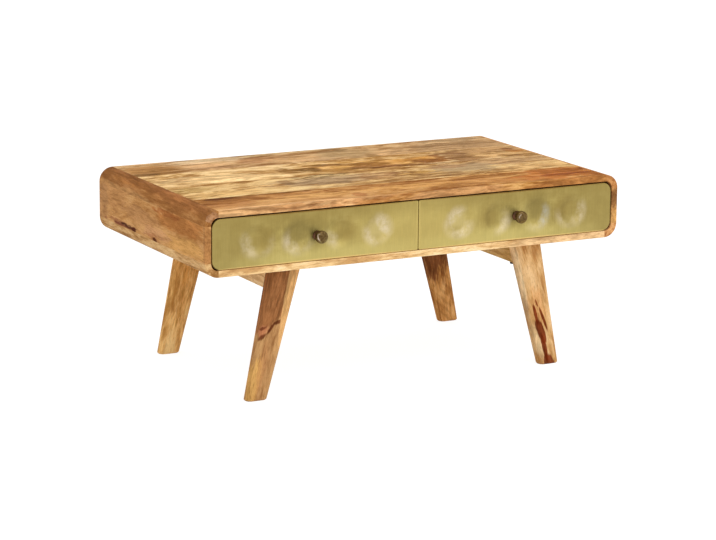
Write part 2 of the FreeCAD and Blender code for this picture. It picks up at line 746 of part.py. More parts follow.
def box_bottom(side):
    """The bottom panel, held in grooves of the front and the sides."""
    return block(
        f"{SIDE_NAMES[side]}_drawer_bottom",
        signed(side, f"({BAY_INNER} - Sizes.panel_groove_depth)"),
        signed(side, f"({BAY_OUTER} + Sizes.panel_groove_depth)"),
        PANEL_BOTTOM, PANEL_TOP,
        f"({FRONT_REAR_Y} - Sizes.panel_groove_depth)", f"({BOX_LENGTH} + Sizes.panel_groove_depth)",
    )


def knob(side):
    """A turned knob: a foot, a slim waist and a head with a rounded edge and a slight crown."""
    foot_y = "(-Sizes.knob_base_height)"
    neck_y = "(-Sizes.knob_base_height - Sizes.knob_neck_length)"
    flare_y = f"({neck_y} - Sizes.knob_flare)"
    rim_x = "(Sizes.knob_head_radius - Sizes.knob_edge_radius)"
    rise = f"(Sizes.knob_crown_radius - sqrt(Sizes.knob_crown_radius ^ 2 - {rim_x} ^ 2))"
    rim_y = f"(-Sizes.knob_length + {rise})"
    bore = "(Sizes.screw_radius + Sizes.screw_bore_clearance)"
    body = new_body(f"{SIDE_NAMES[side]}_drawer_knob")
    sketch = new_sketch(body, "profile", "XY_Plane", (signed(side, PAN_MIDDLE_X), FACE_Y, PAN_MIDDLE_Z))
    draw(sketch, [
        Step(bore, "0"),
        Step("Sizes.knob_base_radius", "0"),
        Step("Sizes.knob_base_radius", foot_y),
        Step("Sizes.knob_neck_radius", neck_y, "Sizes.knob_waist_radius", 1),
        Step("Sizes.knob_head_radius", flare_y),
        Step("Sizes.knob_head_radius", f"({rim_y} + Sizes.knob_edge_radius)"),
        Step(rim_x, rim_y, "Sizes.knob_edge_radius", -1),
        Step("0", "(-Sizes.knob_length)", "Sizes.knob_crown_radius", -1),
        Step("0", "(-Sizes.knob_bore_depth)"),
        Step(bore, "(-Sizes.knob_bore_depth)"),
    ])
    turn_round(body, "Revolution", sketch)
    return body


def knob_screw(side):
    """The screw from inside the drawer into the knob."""
    ease = "Sizes.screw_head_ease"
    head_y = "(Sizes.front_thickness + Sizes.screw_head_height)"
    tip_y = "(Sizes.screw_end_gap - Sizes.knob_bore_depth)"
    body = new_body(f"{SIDE_NAMES[side]}_drawer_knob_screw")
    sketch = new_sketch(body, "profile", "XY_Plane", (signed(side, PAN_MIDDLE_X), FACE_Y, PAN_MIDDLE_Z))
    draw(sketch, square_cut([
        Corner("0", tip_y),
        Corner("Sizes.screw_radius", tip_y),
        Corner("Sizes.screw_radius", "Sizes.front_thickness"),
        Corner("Sizes.screw_head_radius", "Sizes.front_thickness"),
        Corner("Sizes.screw_head_radius", head_y, ease),
        Corner("0", head_y),
    ]))
    turn_round(body, "Revolution", sketch)
    return body


def drawer(side):
    """All the pieces of one drawer."""
    return [
        brass_pan(side),
        front_board(side),
        box_side(side, "outer", signed(side, BOX_OUTER), signed(side, BAY_OUTER)),
        box_side(side, "inner", signed(side, BOX_INNER), signed(side, BAY_INNER)),
        box_back(side),
        box_bottom(side),
        knob(side),
        knob_screw(side),
    ]


# The whole table

bolts, drillings = rail_bolts()
pieces = [corner_block(side, level) for side in SIDE_NAMES for level in LEVEL_NAMES]
pieces += [side_board(side) for side in SIDE_NAMES]
pieces += long_boards(1, "top")
pieces += [drilled(board, drillings) for board in long_boards(-1, "bottom")]
pieces += [back_panel(), centre_divider()]
pieces += [outer_runner(side) for side in SIDE_NAMES]
pieces += [inner_runner(side) for side in SIDE_NAMES]
pieces += [leg(side, end) for side in SIDE_NAMES for end in END_NAMES]
pieces += [leg_rail(side) for side in SIDE_NAMES]
pieces.append(bolts)
for side in SIDE_NAMES:
    pieces += drawer(side)
doc.recompute()

for item in doc.Objects:
    if "Invalid" in item.State or "Error" in item.State:
        raise RuntimeError(f"{item.Label} did not compute")
for piece in pieces:
    if piece.Shape.isNull() or not piece.Shape.isValid():
        raise RuntimeError(f"{piece.Label} has no valid shape")

os.makedirs("parts", exist_ok=True)
for piece in pieces:
    piece.Shape.exportStep(os.path.join("parts", f"{piece.Label}.step"))
    print(f"{piece.Label}: {len(piece.Shape.Solids)} solid(s), {piece.Shape.Volume / 1000:.1f} cm3")
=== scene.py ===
"""Looks of a low coffee table: figured boards, splayed legs and two drawers faced in pressed brass.

Metres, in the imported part's own frame: +Z up, +X to the right, the drawers at the front, towards -Y.
"""

import logging
import math
from collections.abc import Mapping, Sequence
from dataclasses import dataclass, field
from enum import Enum

import bmesh
import bpy
from mathutils import Euler, Matrix, Vector


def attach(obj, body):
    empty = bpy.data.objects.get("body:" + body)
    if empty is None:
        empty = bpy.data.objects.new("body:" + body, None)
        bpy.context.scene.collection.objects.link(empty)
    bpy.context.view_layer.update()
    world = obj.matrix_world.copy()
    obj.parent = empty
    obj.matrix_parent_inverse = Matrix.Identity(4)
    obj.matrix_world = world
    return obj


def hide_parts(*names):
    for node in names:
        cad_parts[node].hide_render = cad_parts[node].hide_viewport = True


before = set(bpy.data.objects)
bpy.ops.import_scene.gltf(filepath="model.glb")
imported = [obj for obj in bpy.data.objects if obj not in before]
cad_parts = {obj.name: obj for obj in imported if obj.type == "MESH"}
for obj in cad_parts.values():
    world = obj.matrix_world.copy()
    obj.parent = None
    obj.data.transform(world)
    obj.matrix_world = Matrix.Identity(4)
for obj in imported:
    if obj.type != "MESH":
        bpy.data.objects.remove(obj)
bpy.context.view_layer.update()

logging.basicConfig(level=logging.INFO, format="%(message)s")
LOG = logging.getLogger("coffee_table")

MM = 0.001
SIDES = {"left": -1, "right": 1}
WHITE = (1.0, 1.0, 1.0, 1.0)

Point = tuple[float, float, float]
Tone = tuple[int, int, int]
Colour = tuple[float, float, float, float]
Tree = bpy.types.NodeTree
MeshData = bpy.types.Mesh


def srgb(tone: Tone) -> Colour:
    """Turns a tone into what the shader wants.

    Args:
        tone: The tone as it looks on a screen, each part from 0 to 255.

    Returns:
        The colour, linear and opaque.
    """
    levels = [part / 255 for part in tone]
    linear = [level / 12.92 if level <= 0.04045 else ((level + 0.055) / 1.055) ** 2.4 for level in levels]
    return (*linear, 1.0)


def mm(*numbers: float) -> Vector:
    """A vector given in millimetres, in metres."""
    return Vector(numbers) * MM


# Node trees


@dataclass(frozen=True)
class Wire:
    """What comes out of a node, so that sums over it read as plain arithmetic."""

    net: "Net"
    socket: bpy.types.NodeSocket | None

    def __getitem__(self, key: str | int) -> "Wire":
        """Another output of the same node."""
        return Wire(self.net, self.socket.node.outputs[key])

    def __add__(self, other: "Value") -> "Wire":
        """Adds a value."""
        return self.net.math("ADD", self, other)

    def __sub__(self, other: "Value") -> "Wire":
        """Takes a value away."""
        return self.net.math("SUBTRACT", self, other)

    def __rsub__(self, other: "Value") -> "Wire":
        """Takes this away from a value."""
        return self.net.math("SUBTRACT", other, self)

    def __mul__(self, other: "Value") -> "Wire":
        """Multiplies by a value."""
        return self.net.math("MULTIPLY", self, other)

    def __truediv__(self, other: "Value") -> "Wire":
        """Divides by a value."""
        return self.net.math("DIVIDE", self, other)


Value = Wire | float | Sequence[float]


def is_wide(value: Value) -> bool:
    """Tells vectors and colours from numbers.

    Args:
        value: A wire or a value.

    Returns:
        Whether it is a vector or a colour.
    """
    if isinstance(value, Wire):
        return value.socket.type in ("VECTOR", "RGBA")
    return not isinstance(value, int | float)


class Net:
    """Adds nodes to one node tree and wires them up."""

    def __init__(self, tree: Tree) -> None:
        """Starts on a tree."""
        self.tree = tree

    def add(self, kind: str, values: Mapping[str | int, object] | None = None, **settings: object) -> Wire:
        """Adds a node.

        Args:
            kind: The node's Blender type.
            values: What feeds each input, by the input's name or number: a wire or a value.
            settings: The node's own properties.

        Returns:
            The node's first output.
        """
        node = self.tree.nodes.new(kind)
        for name, setting in settings.items():
            setattr(node, name, setting)
        for key, value in (values or {}).items():
            if isinstance(value, Wire):
                self.tree.links.new(value.socket, node.inputs[key])
            else:
                node.inputs[key].default_value = value
        return Wire(self, node.outputs[0] if node.outputs else None)

    def use(self, group: Tree, values: Mapping[str | int, object]) -> Wire:
        """Places a shared effect."""
        return self.add("ShaderNodeGroup", values, node_tree=group)

    def math(self, operation: str, *values: Value, clamp: bool = False) -> Wire:
        """Adds a Math node, or a Vector Math node where a value is a vector or a colour.

        Args:
            operation: What the node does.
            values: What it works on. A number beside a vector stands for all three of its parts.
            clamp: Whether a number is kept between 0 and 1.

        Returns:
            The result.
        """
        if not any(is_wide(value) for value in values):
            return self.add("ShaderNodeMath", dict(enumerate(values)), operation=operation, use_clamp=clamp)
        spread = [(value,) * 3 if isinstance(value, int | float) else value for value in values]
        result = self.add("ShaderNodeVectorMath", dict(enumerate(spread)), operation=operation)
        return result["Value"] if operation in ("LENGTH", "DOT_PRODUCT") else result

    def mix(self, factor: Value, first: Value, second: Value) -> Wire:
        """Mixes two colours and gives the result."""
        return self.add("ShaderNodeMix", {0: factor, 6: first, 7: second}, data_type="RGBA")[2]

    def ramp(self, value: Value, tones: Sequence[Tone]) -> Wire:
        """Runs through evenly spaced tones.

        Args:
            value: Where to look, from 0 to 1.
            tones: The tones.

        Returns:
            The tone there.
        """
        result = self.add("ShaderNodeValToRGB", {0: value})
        stops = result.socket.node.color_ramp.elements
        for index, tone in enumerate(tones):
            place = index / (len(tones) - 1)
            stop = stops[index] if index < len(stops) else stops.new(place)
            stop.position, stop.color = place, srgb(tone)
        return result

    def remap(self, value: Value, start: Value, end: Value, low: Value = 0.0, high: Value = 1.0) -> Wire:
        """Turns a range of a value smoothly into another one.

        Args:
            value: The value.
            start: Where it gives low.
            end: Where it gives high.
            low: The result at the start and before.
            high: The result at the end and after.

        Returns:
            The smooth step between the two.
        """
        values = dict(enumerate((value, start, end, low, high)))
        return self.add("ShaderNodeMapRange", values, interpolation_type="SMOOTHSTEP")

    def noise(self, vector: Wire, scale: Value, detail: float = 2.0, roughness: float = 0.5) -> Wire:
        """Adds a noise with its own scale along each axis, in features per metre."""
        values = {"Vector": vector * scale, "Scale": 1.0, "Detail": detail, "Roughness": roughness}
        return self.add("ShaderNodeTexNoise", values)

    def bump(self, height: Wire, strength: float, distance: float) -> Wire:
        """Adds a bump and gives its normal."""
        return self.add("ShaderNodeBump", {"Height": height, "Strength": strength, "Distance": distance})


class Group(Net):
    """A node group in the making, with its inputs at hand."""

    SORTS = {float: "Float", int: "Int", tuple: "Vector"}

    def __init__(self, name: str, inputs: Mapping[str, str | float | Point], outputs: Sequence[str]) -> None:
        """Starts a group.

        Args:
            name: The group's name.
            inputs: Each input's first value, or its type where it has no value of its own.
            outputs: The outputs, which are numbers, or Geometry alone for a geometry tree.
        """
        solid = "Geometry" in outputs
        super().__init__(bpy.data.node_groups.new(name, "GeometryNodeTree" if solid else "ShaderNodeTree"))
        for label, value in inputs.items():
            sort = value if isinstance(value, str) else self.SORTS[type(value)]
            socket = self.tree.interface.new_socket(label, in_out="INPUT", socket_type=f"NodeSocket{sort}")
            if sort != value:
                socket.default_value = value
        sort = "Geometry" if solid else "Float"
        for label in outputs:
            self.tree.interface.new_socket(label, in_out="OUTPUT", socket_type=f"NodeSocket{sort}")
        self.given = self.add("NodeGroupInput")

    def close(self, results: Mapping[str, Wire]) -> Tree:
        """Wires up the outputs and gives the finished group."""
        self.add("NodeGroupOutput", results)
        return self.tree

    def close_solid(self, geometry: Wire) -> Tree:
        """Ends a geometry tree in real faces with the given material.

        Args:
            geometry: What the tree made.

        Returns:
            The finished tree.
        """
        real = self.add("GeometryNodeRealizeInstances", {0: geometry})
        shown = self.add("GeometryNodeSetMaterial", {"Geometry": real, "Material": self.given["Material"]})
        return self.close({"Geometry": shown})


def new_material(name: str) -> tuple[bpy.types.Material, Net]:
    """Starts a material with no nodes in it.

    Args:
        name: The material's name.

    Returns:
        The material, and the net that fills it.
    """
    material = bpy.data.materials.new(name)
    material.use_nodes = True
    material.node_tree.nodes.clear()
    return material, Net(material.node_tree)


# Shared effects


def grain_group() -> Tree:
    """The figure of wood whose pith runs along the group's own X axis.

    Returns:
        A group that gives the tone of the figure, masks for the veins of the year rings and the
        open pores, the fibres, and a height for the bump.
    """
    net = Group(
        "wood_grain", {"Vector": "Vector", "Seed": 0.0, "Ring Width": 0.012, "Waver": 0.03},
        ("Tone", "Vein", "Fibre", "Pore", "Height"),
    )
    given = net.given
    moved = given["Vector"] + given["Seed"] * (7.31, 3.77, 5.13)
    sway = (net.noise(moved, (4.5, 18, 18))["Color"] - 0.5) * (given["Waver"] * (0, 2, 2))
    swayed = sway + moved
    broad = net.noise(moved, (4, 20, 20))
    figure = net.noise(swayed, (13, 60, 60), 3, 0.6)
    streak = net.noise(swayed, (24, 170, 170), 3, 0.65)
    tone = net.remap(broad * 0.3 + figure * 0.38 + streak * 0.32, 0.4, 0.6)
    radius = net.math("LENGTH", (sway + given["Vector"]) * (0, 1, 1))
    wobble = net.noise(moved, (16, 120, 120), 3)
    rings = wobble * 0.9 + radius / given["Ring Width"]
    ring, number = net.math("FRACT", rings), net.math("FLOOR", rings) + given["Seed"]
    each = net.add("ShaderNodeTexWhiteNoise", {"W": number}, noise_dimensions="1D")
    rise, fall = net.remap(ring, 0.35, 0.9), net.remap(ring, 0.9, 1.0, 1.0, 0.0)
    vein = rise * fall * net.remap(each, 0.0, 1.0, 0.15, 1.0)
    fibre = net.noise(moved, (45, 1500, 1500))
    dash = net.remap(net.noise(moved, (60, 700, 700), 1), 0.62, 0.74)
    pore = net.remap(net.noise(moved, (130, 2000, 2000), 1), 0.6, 0.72)
    fleck = net.remap(net.noise(swayed, (36, 210, 210)), 0.56, 0.7, 0.0, 0.6)
    marks = net.math("MAXIMUM", net.math("MAXIMUM", pore, dash), fleck)
    height = fibre * 0.5 - marks
    return net.close({"Tone": tone, "Vein": vein, "Fibre": fibre, "Pore": marks, "Height": height})


def patch_group() -> Tree:
    """The mask of one patch: an ellipsoid with a ragged edge, turned about its centre.

    Returns:
        A group that gives the mask.
    """
    net = Group(
        "patch",
        {
            "Vector": "Vector", "Centre": "Vector", "Size": (1.0, 1.0, 1.0), "Turn": "Vector",
            "Ragged": 0.5, "Soft": 0.3, "Broken": 0.0,
        },
        ("Mask",),
    )
    given, spot = net.given, net.given["Vector"]
    away = net.add(
        "ShaderNodeVectorRotate", {"Vector": spot - given["Centre"], "Rotation": given["Turn"]},
        rotation_type="EULER_XYZ",
    )
    coarse, fine, share = net.noise(spot, (20, 80, 80), 3, 0.6), net.noise(spot, (45, 300, 300)), 0.45
    mean = 0.5 + 0.5 * share
    rag = (fine * share + coarse - mean) * (given["Ragged"] * 3.0)
    reach = net.math("LENGTH", away / given["Size"]) + rag
    mask = net.remap(reach, 1.0 - given["Soft"], given["Soft"] + 1.0, 1.0, 0.0)
    flecks = net.remap(net.noise(spot, (34, 190, 190), 3, 0.6), 0.42, 0.56, -1.0, 0.0)
    return net.close({"Mask": mask * (given["Broken"] * flecks + 1.0)})


def highlight_arc_group() -> Tree:
    """The mask of a painted highlight arc on an upright sheet: part of a soft ring round a centre.

    Returns:
        A group that gives the mask.
    """
    net = Group(
        "rubbed_arc",
        {
            "Vector": "Vector", "Centre": "Vector", "Radius": 0.03, "Width": 0.008, "Facing": "Vector",
            "Spread": 0.0,
        },
        ("Mask",),
    )
    given, blur, waver = net.given, 0.35, 0.014
    away = (given["Vector"] - given["Centre"]) * (1, 0, 1)
    mottle = net.noise(given["Vector"], 70, 3, 0.6)
    off = net.math("ABSOLUTE", net.math("LENGTH", away) + (mottle - 0.5) * waver - given["Radius"])
    ring = net.remap(off / given["Width"], 0.0, 1.0, 1.0, 0.0)
    heading = net.math("DOT_PRODUCT", net.math("NORMALIZE", away), given["Facing"])
    part = net.remap(heading, given["Spread"] - blur, given["Spread"] + blur)
    fleck = net.noise(given["Vector"], 260, 3, 0.65)
    broken = net.remap(mottle, 0.3, 0.62, 0.35, 1.0) * net.remap(fleck, 0.3, 0.6, 0.65, 1.0)
    return net.close({"Mask": ring * part * broken})


def brushing_group() -> Tree:
    """Fine upright brush lines and slow clouds in sheet metal.

    Returns:
        A group that gives the fine lines, broader bands of them, and the clouds.
    """
    net = Group("brushing", {"Vector": "Vector", "Seed": 0.0}, ("Line", "Band", "Cloud"))
    moved = net.given["Vector"] + net.given["Seed"] * (1.7, 2.9, 4.3)
    return net.close({
        "Line": net.noise(moved, (1500, 1500, 40), 3, 0.6), "Band": net.noise(moved, (260, 260, 12), 3, 0.6),
        "Cloud": net.noise(moved, 26, 4, 0.6),
    })


def wear_and_highlight_group() -> Tree:
    """The mask of a pale arris, part wear and part painted highlight: where the surface turns within a short
    reach, broken up.

    Returns:
        A group that gives the mask.
    """
    net = Group("edge_wear", {"Vector": "Vector", "Radius": 0.0015, "Scale": 60.0}, ("Mask",))
    rounded = net.add("ShaderNodeBevel", {"Radius": net.given["Radius"]}, samples=6)
    flat = net.add("ShaderNodeNewGeometry")["Normal"]
    turned = 1.0 - net.math("DOT_PRODUCT", rounded, flat)
    broken = net.noise(net.given["Vector"], net.given["Scale"], 4, 0.65)
    return net.close({"Mask": net.remap(turned, 0.01, 0.16) * net.remap(broken, 0.36, 0.6)})


@dataclass(frozen=True)
class Effects:
    """The shader node groups that several finishes share."""

    grain: Tree = field(default_factory=grain_group)
    patch: Tree = field(default_factory=patch_group)
    arc: Tree = field(default_factory=highlight_arc_group)
    brushing: Tree = field(default_factory=brushing_group)
    wear_and_highlight: Tree = field(default_factory=wear_and_highlight_group)


# Finishes


class Grain(Enum):
    """Which way a board's grain runs, as the turn about each axis that lays it along X."""

    LENGTHWAYS = (0.0, 0.0, 0.0)
    FRONT_TO_BACK = (0.0, 0.0, -90.0)
    LEFT_LEG = (0.0, 76.8, 0.0)
    RIGHT_LEG = (0.0, 103.2, 0.0)

    def turn(self, tilt: tuple[float, float]) -> Matrix:
        """The rotation that lays the grain along X, with a further tilt about Y and Z in degrees."""
        lean = Euler((0.0, math.radians(tilt[0]), math.radians(tilt[1]))).to_matrix()
        return lean @ Euler([math.radians(angle) for angle in self.value]).to_matrix()


@dataclass(frozen=True)
class Patch:
    """A local patch of another tone in a board or a sheet.

    The centre is a place on the table in millimetres. The size is the half-lengths along the
    grain, across it, and across it the other way. The turn is in degrees about the same axes.
    """

    centre: Point
    size: Point
    tone: Tone
    strength: float = 0.7
    ragged: float = 0.7
    soft: float = 0.25
    turn: Point = (0.0, 0.0, 0.0)
    sunk: float = 0.0
    broken: float = 0.0

    def mask(
        self, net: Net, effects: Effects, spot: Wire, lie: Matrix = Matrix.Identity(3),
        pith: Vector = Vector(),
    ) -> Wire:
        """Places the patch's mask in a material.

        Args:
            net: The material's net.
            effects: The shared node groups.
            spot: The place in the grain's own frame, or on the table for a metal.
            lie: The rotation into the grain's own frame.
            pith: Where that frame starts.

        Returns:
            The mask, at the patch's strength.
        """
        return net.use(effects.patch, {
            "Vector": spot, "Centre": lie @ (mm(*self.centre) - pith), "Size": mm(*self.size),
            "Turn": [math.radians(angle) for angle in self.turn], "Ragged": self.ragged, "Soft": self.soft,
            "Broken": self.broken,
        }) * self.strength


@dataclass(frozen=True)
class PaintedHighlight:
    """A painted highlight: a pale arc that stands for a reflection, in a dimple of a brass sheet or on a
    knob's head.

    The facing is the direction of the arc's middle in degrees, from +X towards +Z, and the reach
    is how far the arc runs to each side of it.
    """

    centre: Point
    facing: float
    reach: float
    radius: float
    width: float
    tone: Tone
    strength: float = 0.6

    def mask(self, net: Net, effects: Effects, spot: Wire) -> Wire:
        """Places the arc's mask in a material.

        Args:
            net: The material's net.
            effects: The shared node groups.
            spot: The place on the table.

        Returns:
            The mask, at the arc's strength.
        """
        facing = math.radians(self.facing)
        return net.use(effects.arc, {
            "Vector": spot, "Centre": mm(*self.centre), "Radius": self.radius * MM, "Width": self.width * MM,
            "Facing": (math.cos(facing), 0.0, math.sin(facing)), "Spread": math.cos(math.radians(self.reach)),
        }) * self.strength


class Finish:
    """The look of a piece's surface."""

    def surface(self, net: Net, effects: Effects, spot: Wire) -> dict[str, Value]:
        """Works out what feeds the shader, from the place on the table."""
        raise NotImplementedError

    def make(self, name: str, effects: Effects) -> bpy.types.Material:
        """Builds the material.

        Args:
            name: The material's name.
            effects: The shared node groups.

        Returns:
            The material.
        """
        material, net = new_material(name)
        spot = net.add("ShaderNodeTexCoord")["Object"]
        shader = net.add("ShaderNodeBsdfPrincipled", self.surface(net, effects, spot))
        net.add("ShaderNodeOutputMaterial", {"Surface": shader})
        return material


@dataclass(frozen=True)
class Wood(Finish):
    """The finish of one board: oiled, figured hardwood.

    The tones are the figure's dark, middle and light ones. The tints are what the veins and the
    pores multiply it by.
    """

    tones: tuple[Tone, Tone, Tone]
    grain: Grain = Grain.LENGTHWAYS
    pith: Point = (0.0, 0.0, 300.0)
    tilt: tuple[float, float] = (0.0, 0.0)
    ring_width: float = 12.0
    waver: float = 30.0
    figure: float = 1.0
    vein: float = 0.45
    vein_tint: Point = (0.46, 0.27, 0.12)
    pore: float = 0.5
    pore_tint: Point = (0.38, 0.25, 0.15)
    wear_and_highlight: float = 0.35
    roughness: float = 0.6
    seed: float = 0.0
    patches: tuple[Patch, ...] = ()

    def surface(self, net: Net, effects: Effects, spot: Wire) -> dict[str, Value]:
        """Lays figure, patches, veins, fibres, pores and pale edges, part wear and part painted highlight,
        over each other.

        Args:
            net: The material's net.
            effects: The shared node groups.
            spot: The place on the table.

        Returns:
            What feeds each of the shader's inputs.
        """
        lie, pith = self.grain.turn(self.tilt), mm(*self.pith)
        place = {"Vector": spot, "Location": -(lie @ pith), "Rotation": lie.to_euler()}
        laid = net.add("ShaderNodeMapping", place)
        grain = net.use(effects.grain, {
            "Vector": laid, "Seed": self.seed, "Ring Width": self.ring_width * MM, "Waver": self.waver * MM,
        })
        tone = net.math("MULTIPLY_ADD", grain["Tone"] - 0.5, self.figure, 0.5, clamp=True)
        shade = net.remap(tone, 0.0, 1.0, 0.7, 1.26)
        colour, height = net.ramp(tone, self.tones), grain["Height"]
        for patch in self.patches:
            mask = patch.mask(net, effects, laid, lie, pith)
            colour = net.mix(mask, colour, shade * srgb(patch.tone)[:3])
            if patch.sunk:
                height = height - mask * patch.sunk
        colour = net.mix(grain["Vein"] * self.vein, colour, colour * self.vein_tint)
        colour = colour * net.remap(grain["Fibre"], 0.3, 0.7, 0.9, 1.07)
        colour = net.mix(grain["Pore"] * self.pore, colour, colour * self.pore_tint)
        # Pale arrises: part wear, part painted highlight.
        worn_and_lit_edge = net.use(effects.wear_and_highlight, {"Vector": spot})
        return {
            "Base Color": net.mix(worn_and_lit_edge * self.wear_and_highlight, colour, srgb(self.tones[2])),
            "Roughness": net.remap(tone, 0.0, 1.0, self.roughness + 0.08, self.roughness - 0.05),
            "Specular IOR Level": 0.02, "Normal": net.bump(height, 0.4, 0.0003),
        }


@dataclass(frozen=True)
class PressedBrass(Finish):
    """Upright-brushed brass sheet, tarnished unevenly, with painted light, shade and highlights over it and
    round its dimples.
    """

    tones: tuple[Tone, Tone, Tone]
    seed: float = 0.0
    patches: tuple[Patch, ...] = ()
    painted_highlights: tuple[PaintedHighlight, ...] = ()

    def surface(self, net: Net, effects: Effects, spot: Wire) -> dict[str, Value]:
        """Lays tarnish, patches of painted light and shade, arcs of painted highlight, pale edges that are
        part wear and part painted highlight, and brush lines over each other.

        Args:
            net: The material's net.
            effects: The shared node groups.
            spot: The place on the table.

        Returns:
            What feeds each of the shader's inputs.
        """
        brush = net.use(effects.brushing, {"Vector": spot, "Seed": self.seed})
        tone = brush["Band"] * 0.25 + brush["Cloud"] * 0.75
        colour = net.ramp(net.remap(tone, 0.34, 0.66), self.tones)
        # The pan's patches are painted light, shade and reflection.
        for patch in self.patches:
            colour = net.mix(patch.mask(net, effects, spot), colour, srgb(patch.tone))
        # Painted highlights: pale arcs that stand for reflections, and they make the sheet a little rougher
        # where they lie.
        highlight_mask: Value = 0.0
        for painted_highlight in self.painted_highlights:
            mask = painted_highlight.mask(net, effects, spot)
            colour = net.mix(mask, colour, srgb(painted_highlight.tone))
            highlight_mask = net.math("MAXIMUM", highlight_mask, mask)
        # Pale edges: part wear, part painted highlight.
        worn_and_lit_edge = net.use(effects.wear_and_highlight, {"Vector": spot, "Radius": 0.002, "Scale": 90.0})
        colour = net.mix(worn_and_lit_edge * 0.6, colour, srgb(self.tones[2]))
        return {
            "Base Color": colour * net.remap(brush["Line"], 0.25, 0.75, 0.88, 1.06), "Metallic": 1.0,
            "Roughness": net.remap(brush["Line"], 0.2, 0.8, 0.48, 0.6) + highlight_mask * 0.12,
            "Normal": net.bump(brush["Line"], 0.15, 0.0001),
        }


@dataclass(frozen=True)
class WornMetal(Finish):
    """Cast or turned metal with a mottled skin: aged brass, blackened or bright steel."""

    light: Tone
    dark: Tone
    roughness: float = 0.4
    mottle: float = 300.0
    marks: tuple[PaintedHighlight | Patch, ...] = ()

    def surface(self, net: Net, effects: Effects, spot: Wire) -> dict[str, Value]:
        """Lays the marks over the mottled skin.

        Args:
            net: The material's net.
            effects: The shared node groups.
            spot: The place on the table.

        Returns:
            What feeds each of the shader's inputs.
        """
        mottle = net.noise(spot, self.mottle, 4, 0.6)
        colour = net.mix(net.remap(mottle, 0.35, 0.65), srgb(self.dark), srgb(self.light))
        for mark in self.marks:
            colour = net.mix(mark.mask(net, effects, spot), colour, srgb(mark.tone))
        return {
            "Base Color": colour, "Metallic": 1.0, "Normal": net.bump(mottle, 0.2, 0.0002),
            "Roughness": net.remap(mottle, 0.3, 0.7, self.roughness + 0.1, self.roughness - 0.06),
        }


def dress(finishes: Mapping[str, Finish], effects: Effects) -> None:
    """Gives nodes of the part their finishes.

    Args:
        finishes: Each node's finish by its name.
        effects: The shared node groups.
    """
    for node, finish in finishes.items():
        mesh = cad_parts[node].data
        mesh.materials.clear()
        mesh.materials.append(finish.make(node, effects))
        LOG.info("dressed %s", node)


# Meshes


def new_object(name: str, data: bpy.types.ID) -> bpy.types.Object:
    """Adds an object to the scene.

    Args:
        name: The object's name.
        data: Its mesh, lamp or camera.

    Returns:
        The object.
    """
    made = bpy.data.objects.new(name, data)
    bpy.context.scene.collection.objects.link(made)
    return made


def new_piece(name: str, mesh: MeshData, body: str, node: str) -> bpy.types.Object:
    """Adds a finished piece that stands for a node of the part.

    Args:
        name: The piece's name.
        mesh: Its mesh, in place and with its material.
        body: The body it rides on.
        node: The node it stands for.

    Returns:
        The piece.
    """
    piece = new_object(name, mesh)
    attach(piece, body)
    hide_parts(node)
    LOG.info("built %s", name)
    return piece


def run_tree(mesh: MeshData, tree: Tree, values: Mapping[str, object]) -> MeshData:
    """Runs a Geometry Nodes tree on a mesh and gives the result as a plain mesh.

    Args:
        mesh: What the tree starts from.
        tree: The tree.
        values: Each named input's value.

    Returns:
        The new mesh.
    """
    carrier = new_object("carrier", mesh)
    modifier = carrier.modifiers.new("tree", "NODES")
    modifier.node_group = tree
    for item in tree.interface.items_tree:
        if item.name in values:
            modifier[item.identifier] = values[item.name]
    depsgraph = bpy.context.evaluated_depsgraph_get()
    result = bpy.data.meshes.new_from_object(carrier.evaluated_get(depsgraph), depsgraph=depsgraph)
    bpy.data.objects.remove(carrier)
    return result


def bridge(work: bmesh.types.BMesh, rings: Sequence[list]) -> None:
    """Joins rings of vertices with faces.

    Args:
        work: The mesh in the making.
        rings: The rings in order. One may also be a single point.
    """
    for first, second in zip(rings, rings[1:]):
        count = max(len(first), len(second))
        for index in range(count):
            after = (index + 1) % count
            corners = [first[index % len(first)], first[after % len(first)]]
            corners += [second[after % len(second)], second[index % len(second)]]
            work.faces.new(list(dict.fromkeys(corners)))


def mesh_of(name: str, work: bmesh.types.BMesh, sharp: bool = True) -> MeshData:
    """Ends the work on a mesh.

    Args:
        name: The mesh's name.
        work: The mesh in the making.
        sharp: Whether edges of more than 40 degrees are kept sharp.

    Returns:
        The mesh, smooth and with its faces outwards.
    """
    bmesh.ops.recalc_face_normals(work, faces=work.faces)
    mesh = bpy.data.meshes.new(name)
    work.to_mesh(mesh)
    work.free()
    mesh.shade_smooth()
    if sharp:
        mesh.set_sharp_from_angle(angle=math.radians(40))
    return mesh


def lathe(name: str, centre: Vector, outline: Sequence[tuple[float, float]], steps: int = 72) -> MeshData:
    """Turns an outline round an axis that runs from front to back.

    Args:
        name: The mesh's name.
        centre: Where the axis starts, in metres.
        outline: The outline's points, each the way along the axis and the radius, in millimetres,
            closed at both ends by a point on the axis.
        steps: How many faces go round.

    Returns:
        The mesh.
    """
    work = bmesh.new()
    rings = []
    for along, radius in outline:
        turns = [math.tau * index / steps for index in range(steps if radius else 1)]
        places = [mm(radius * math.cos(turn), along, radius * math.sin(turn)) for turn in turns]
        rings.append([work.verts.new(centre + place) for place in places])
    bridge(work, rings)
    return mesh_of(name, work)


# Sub-assemblies


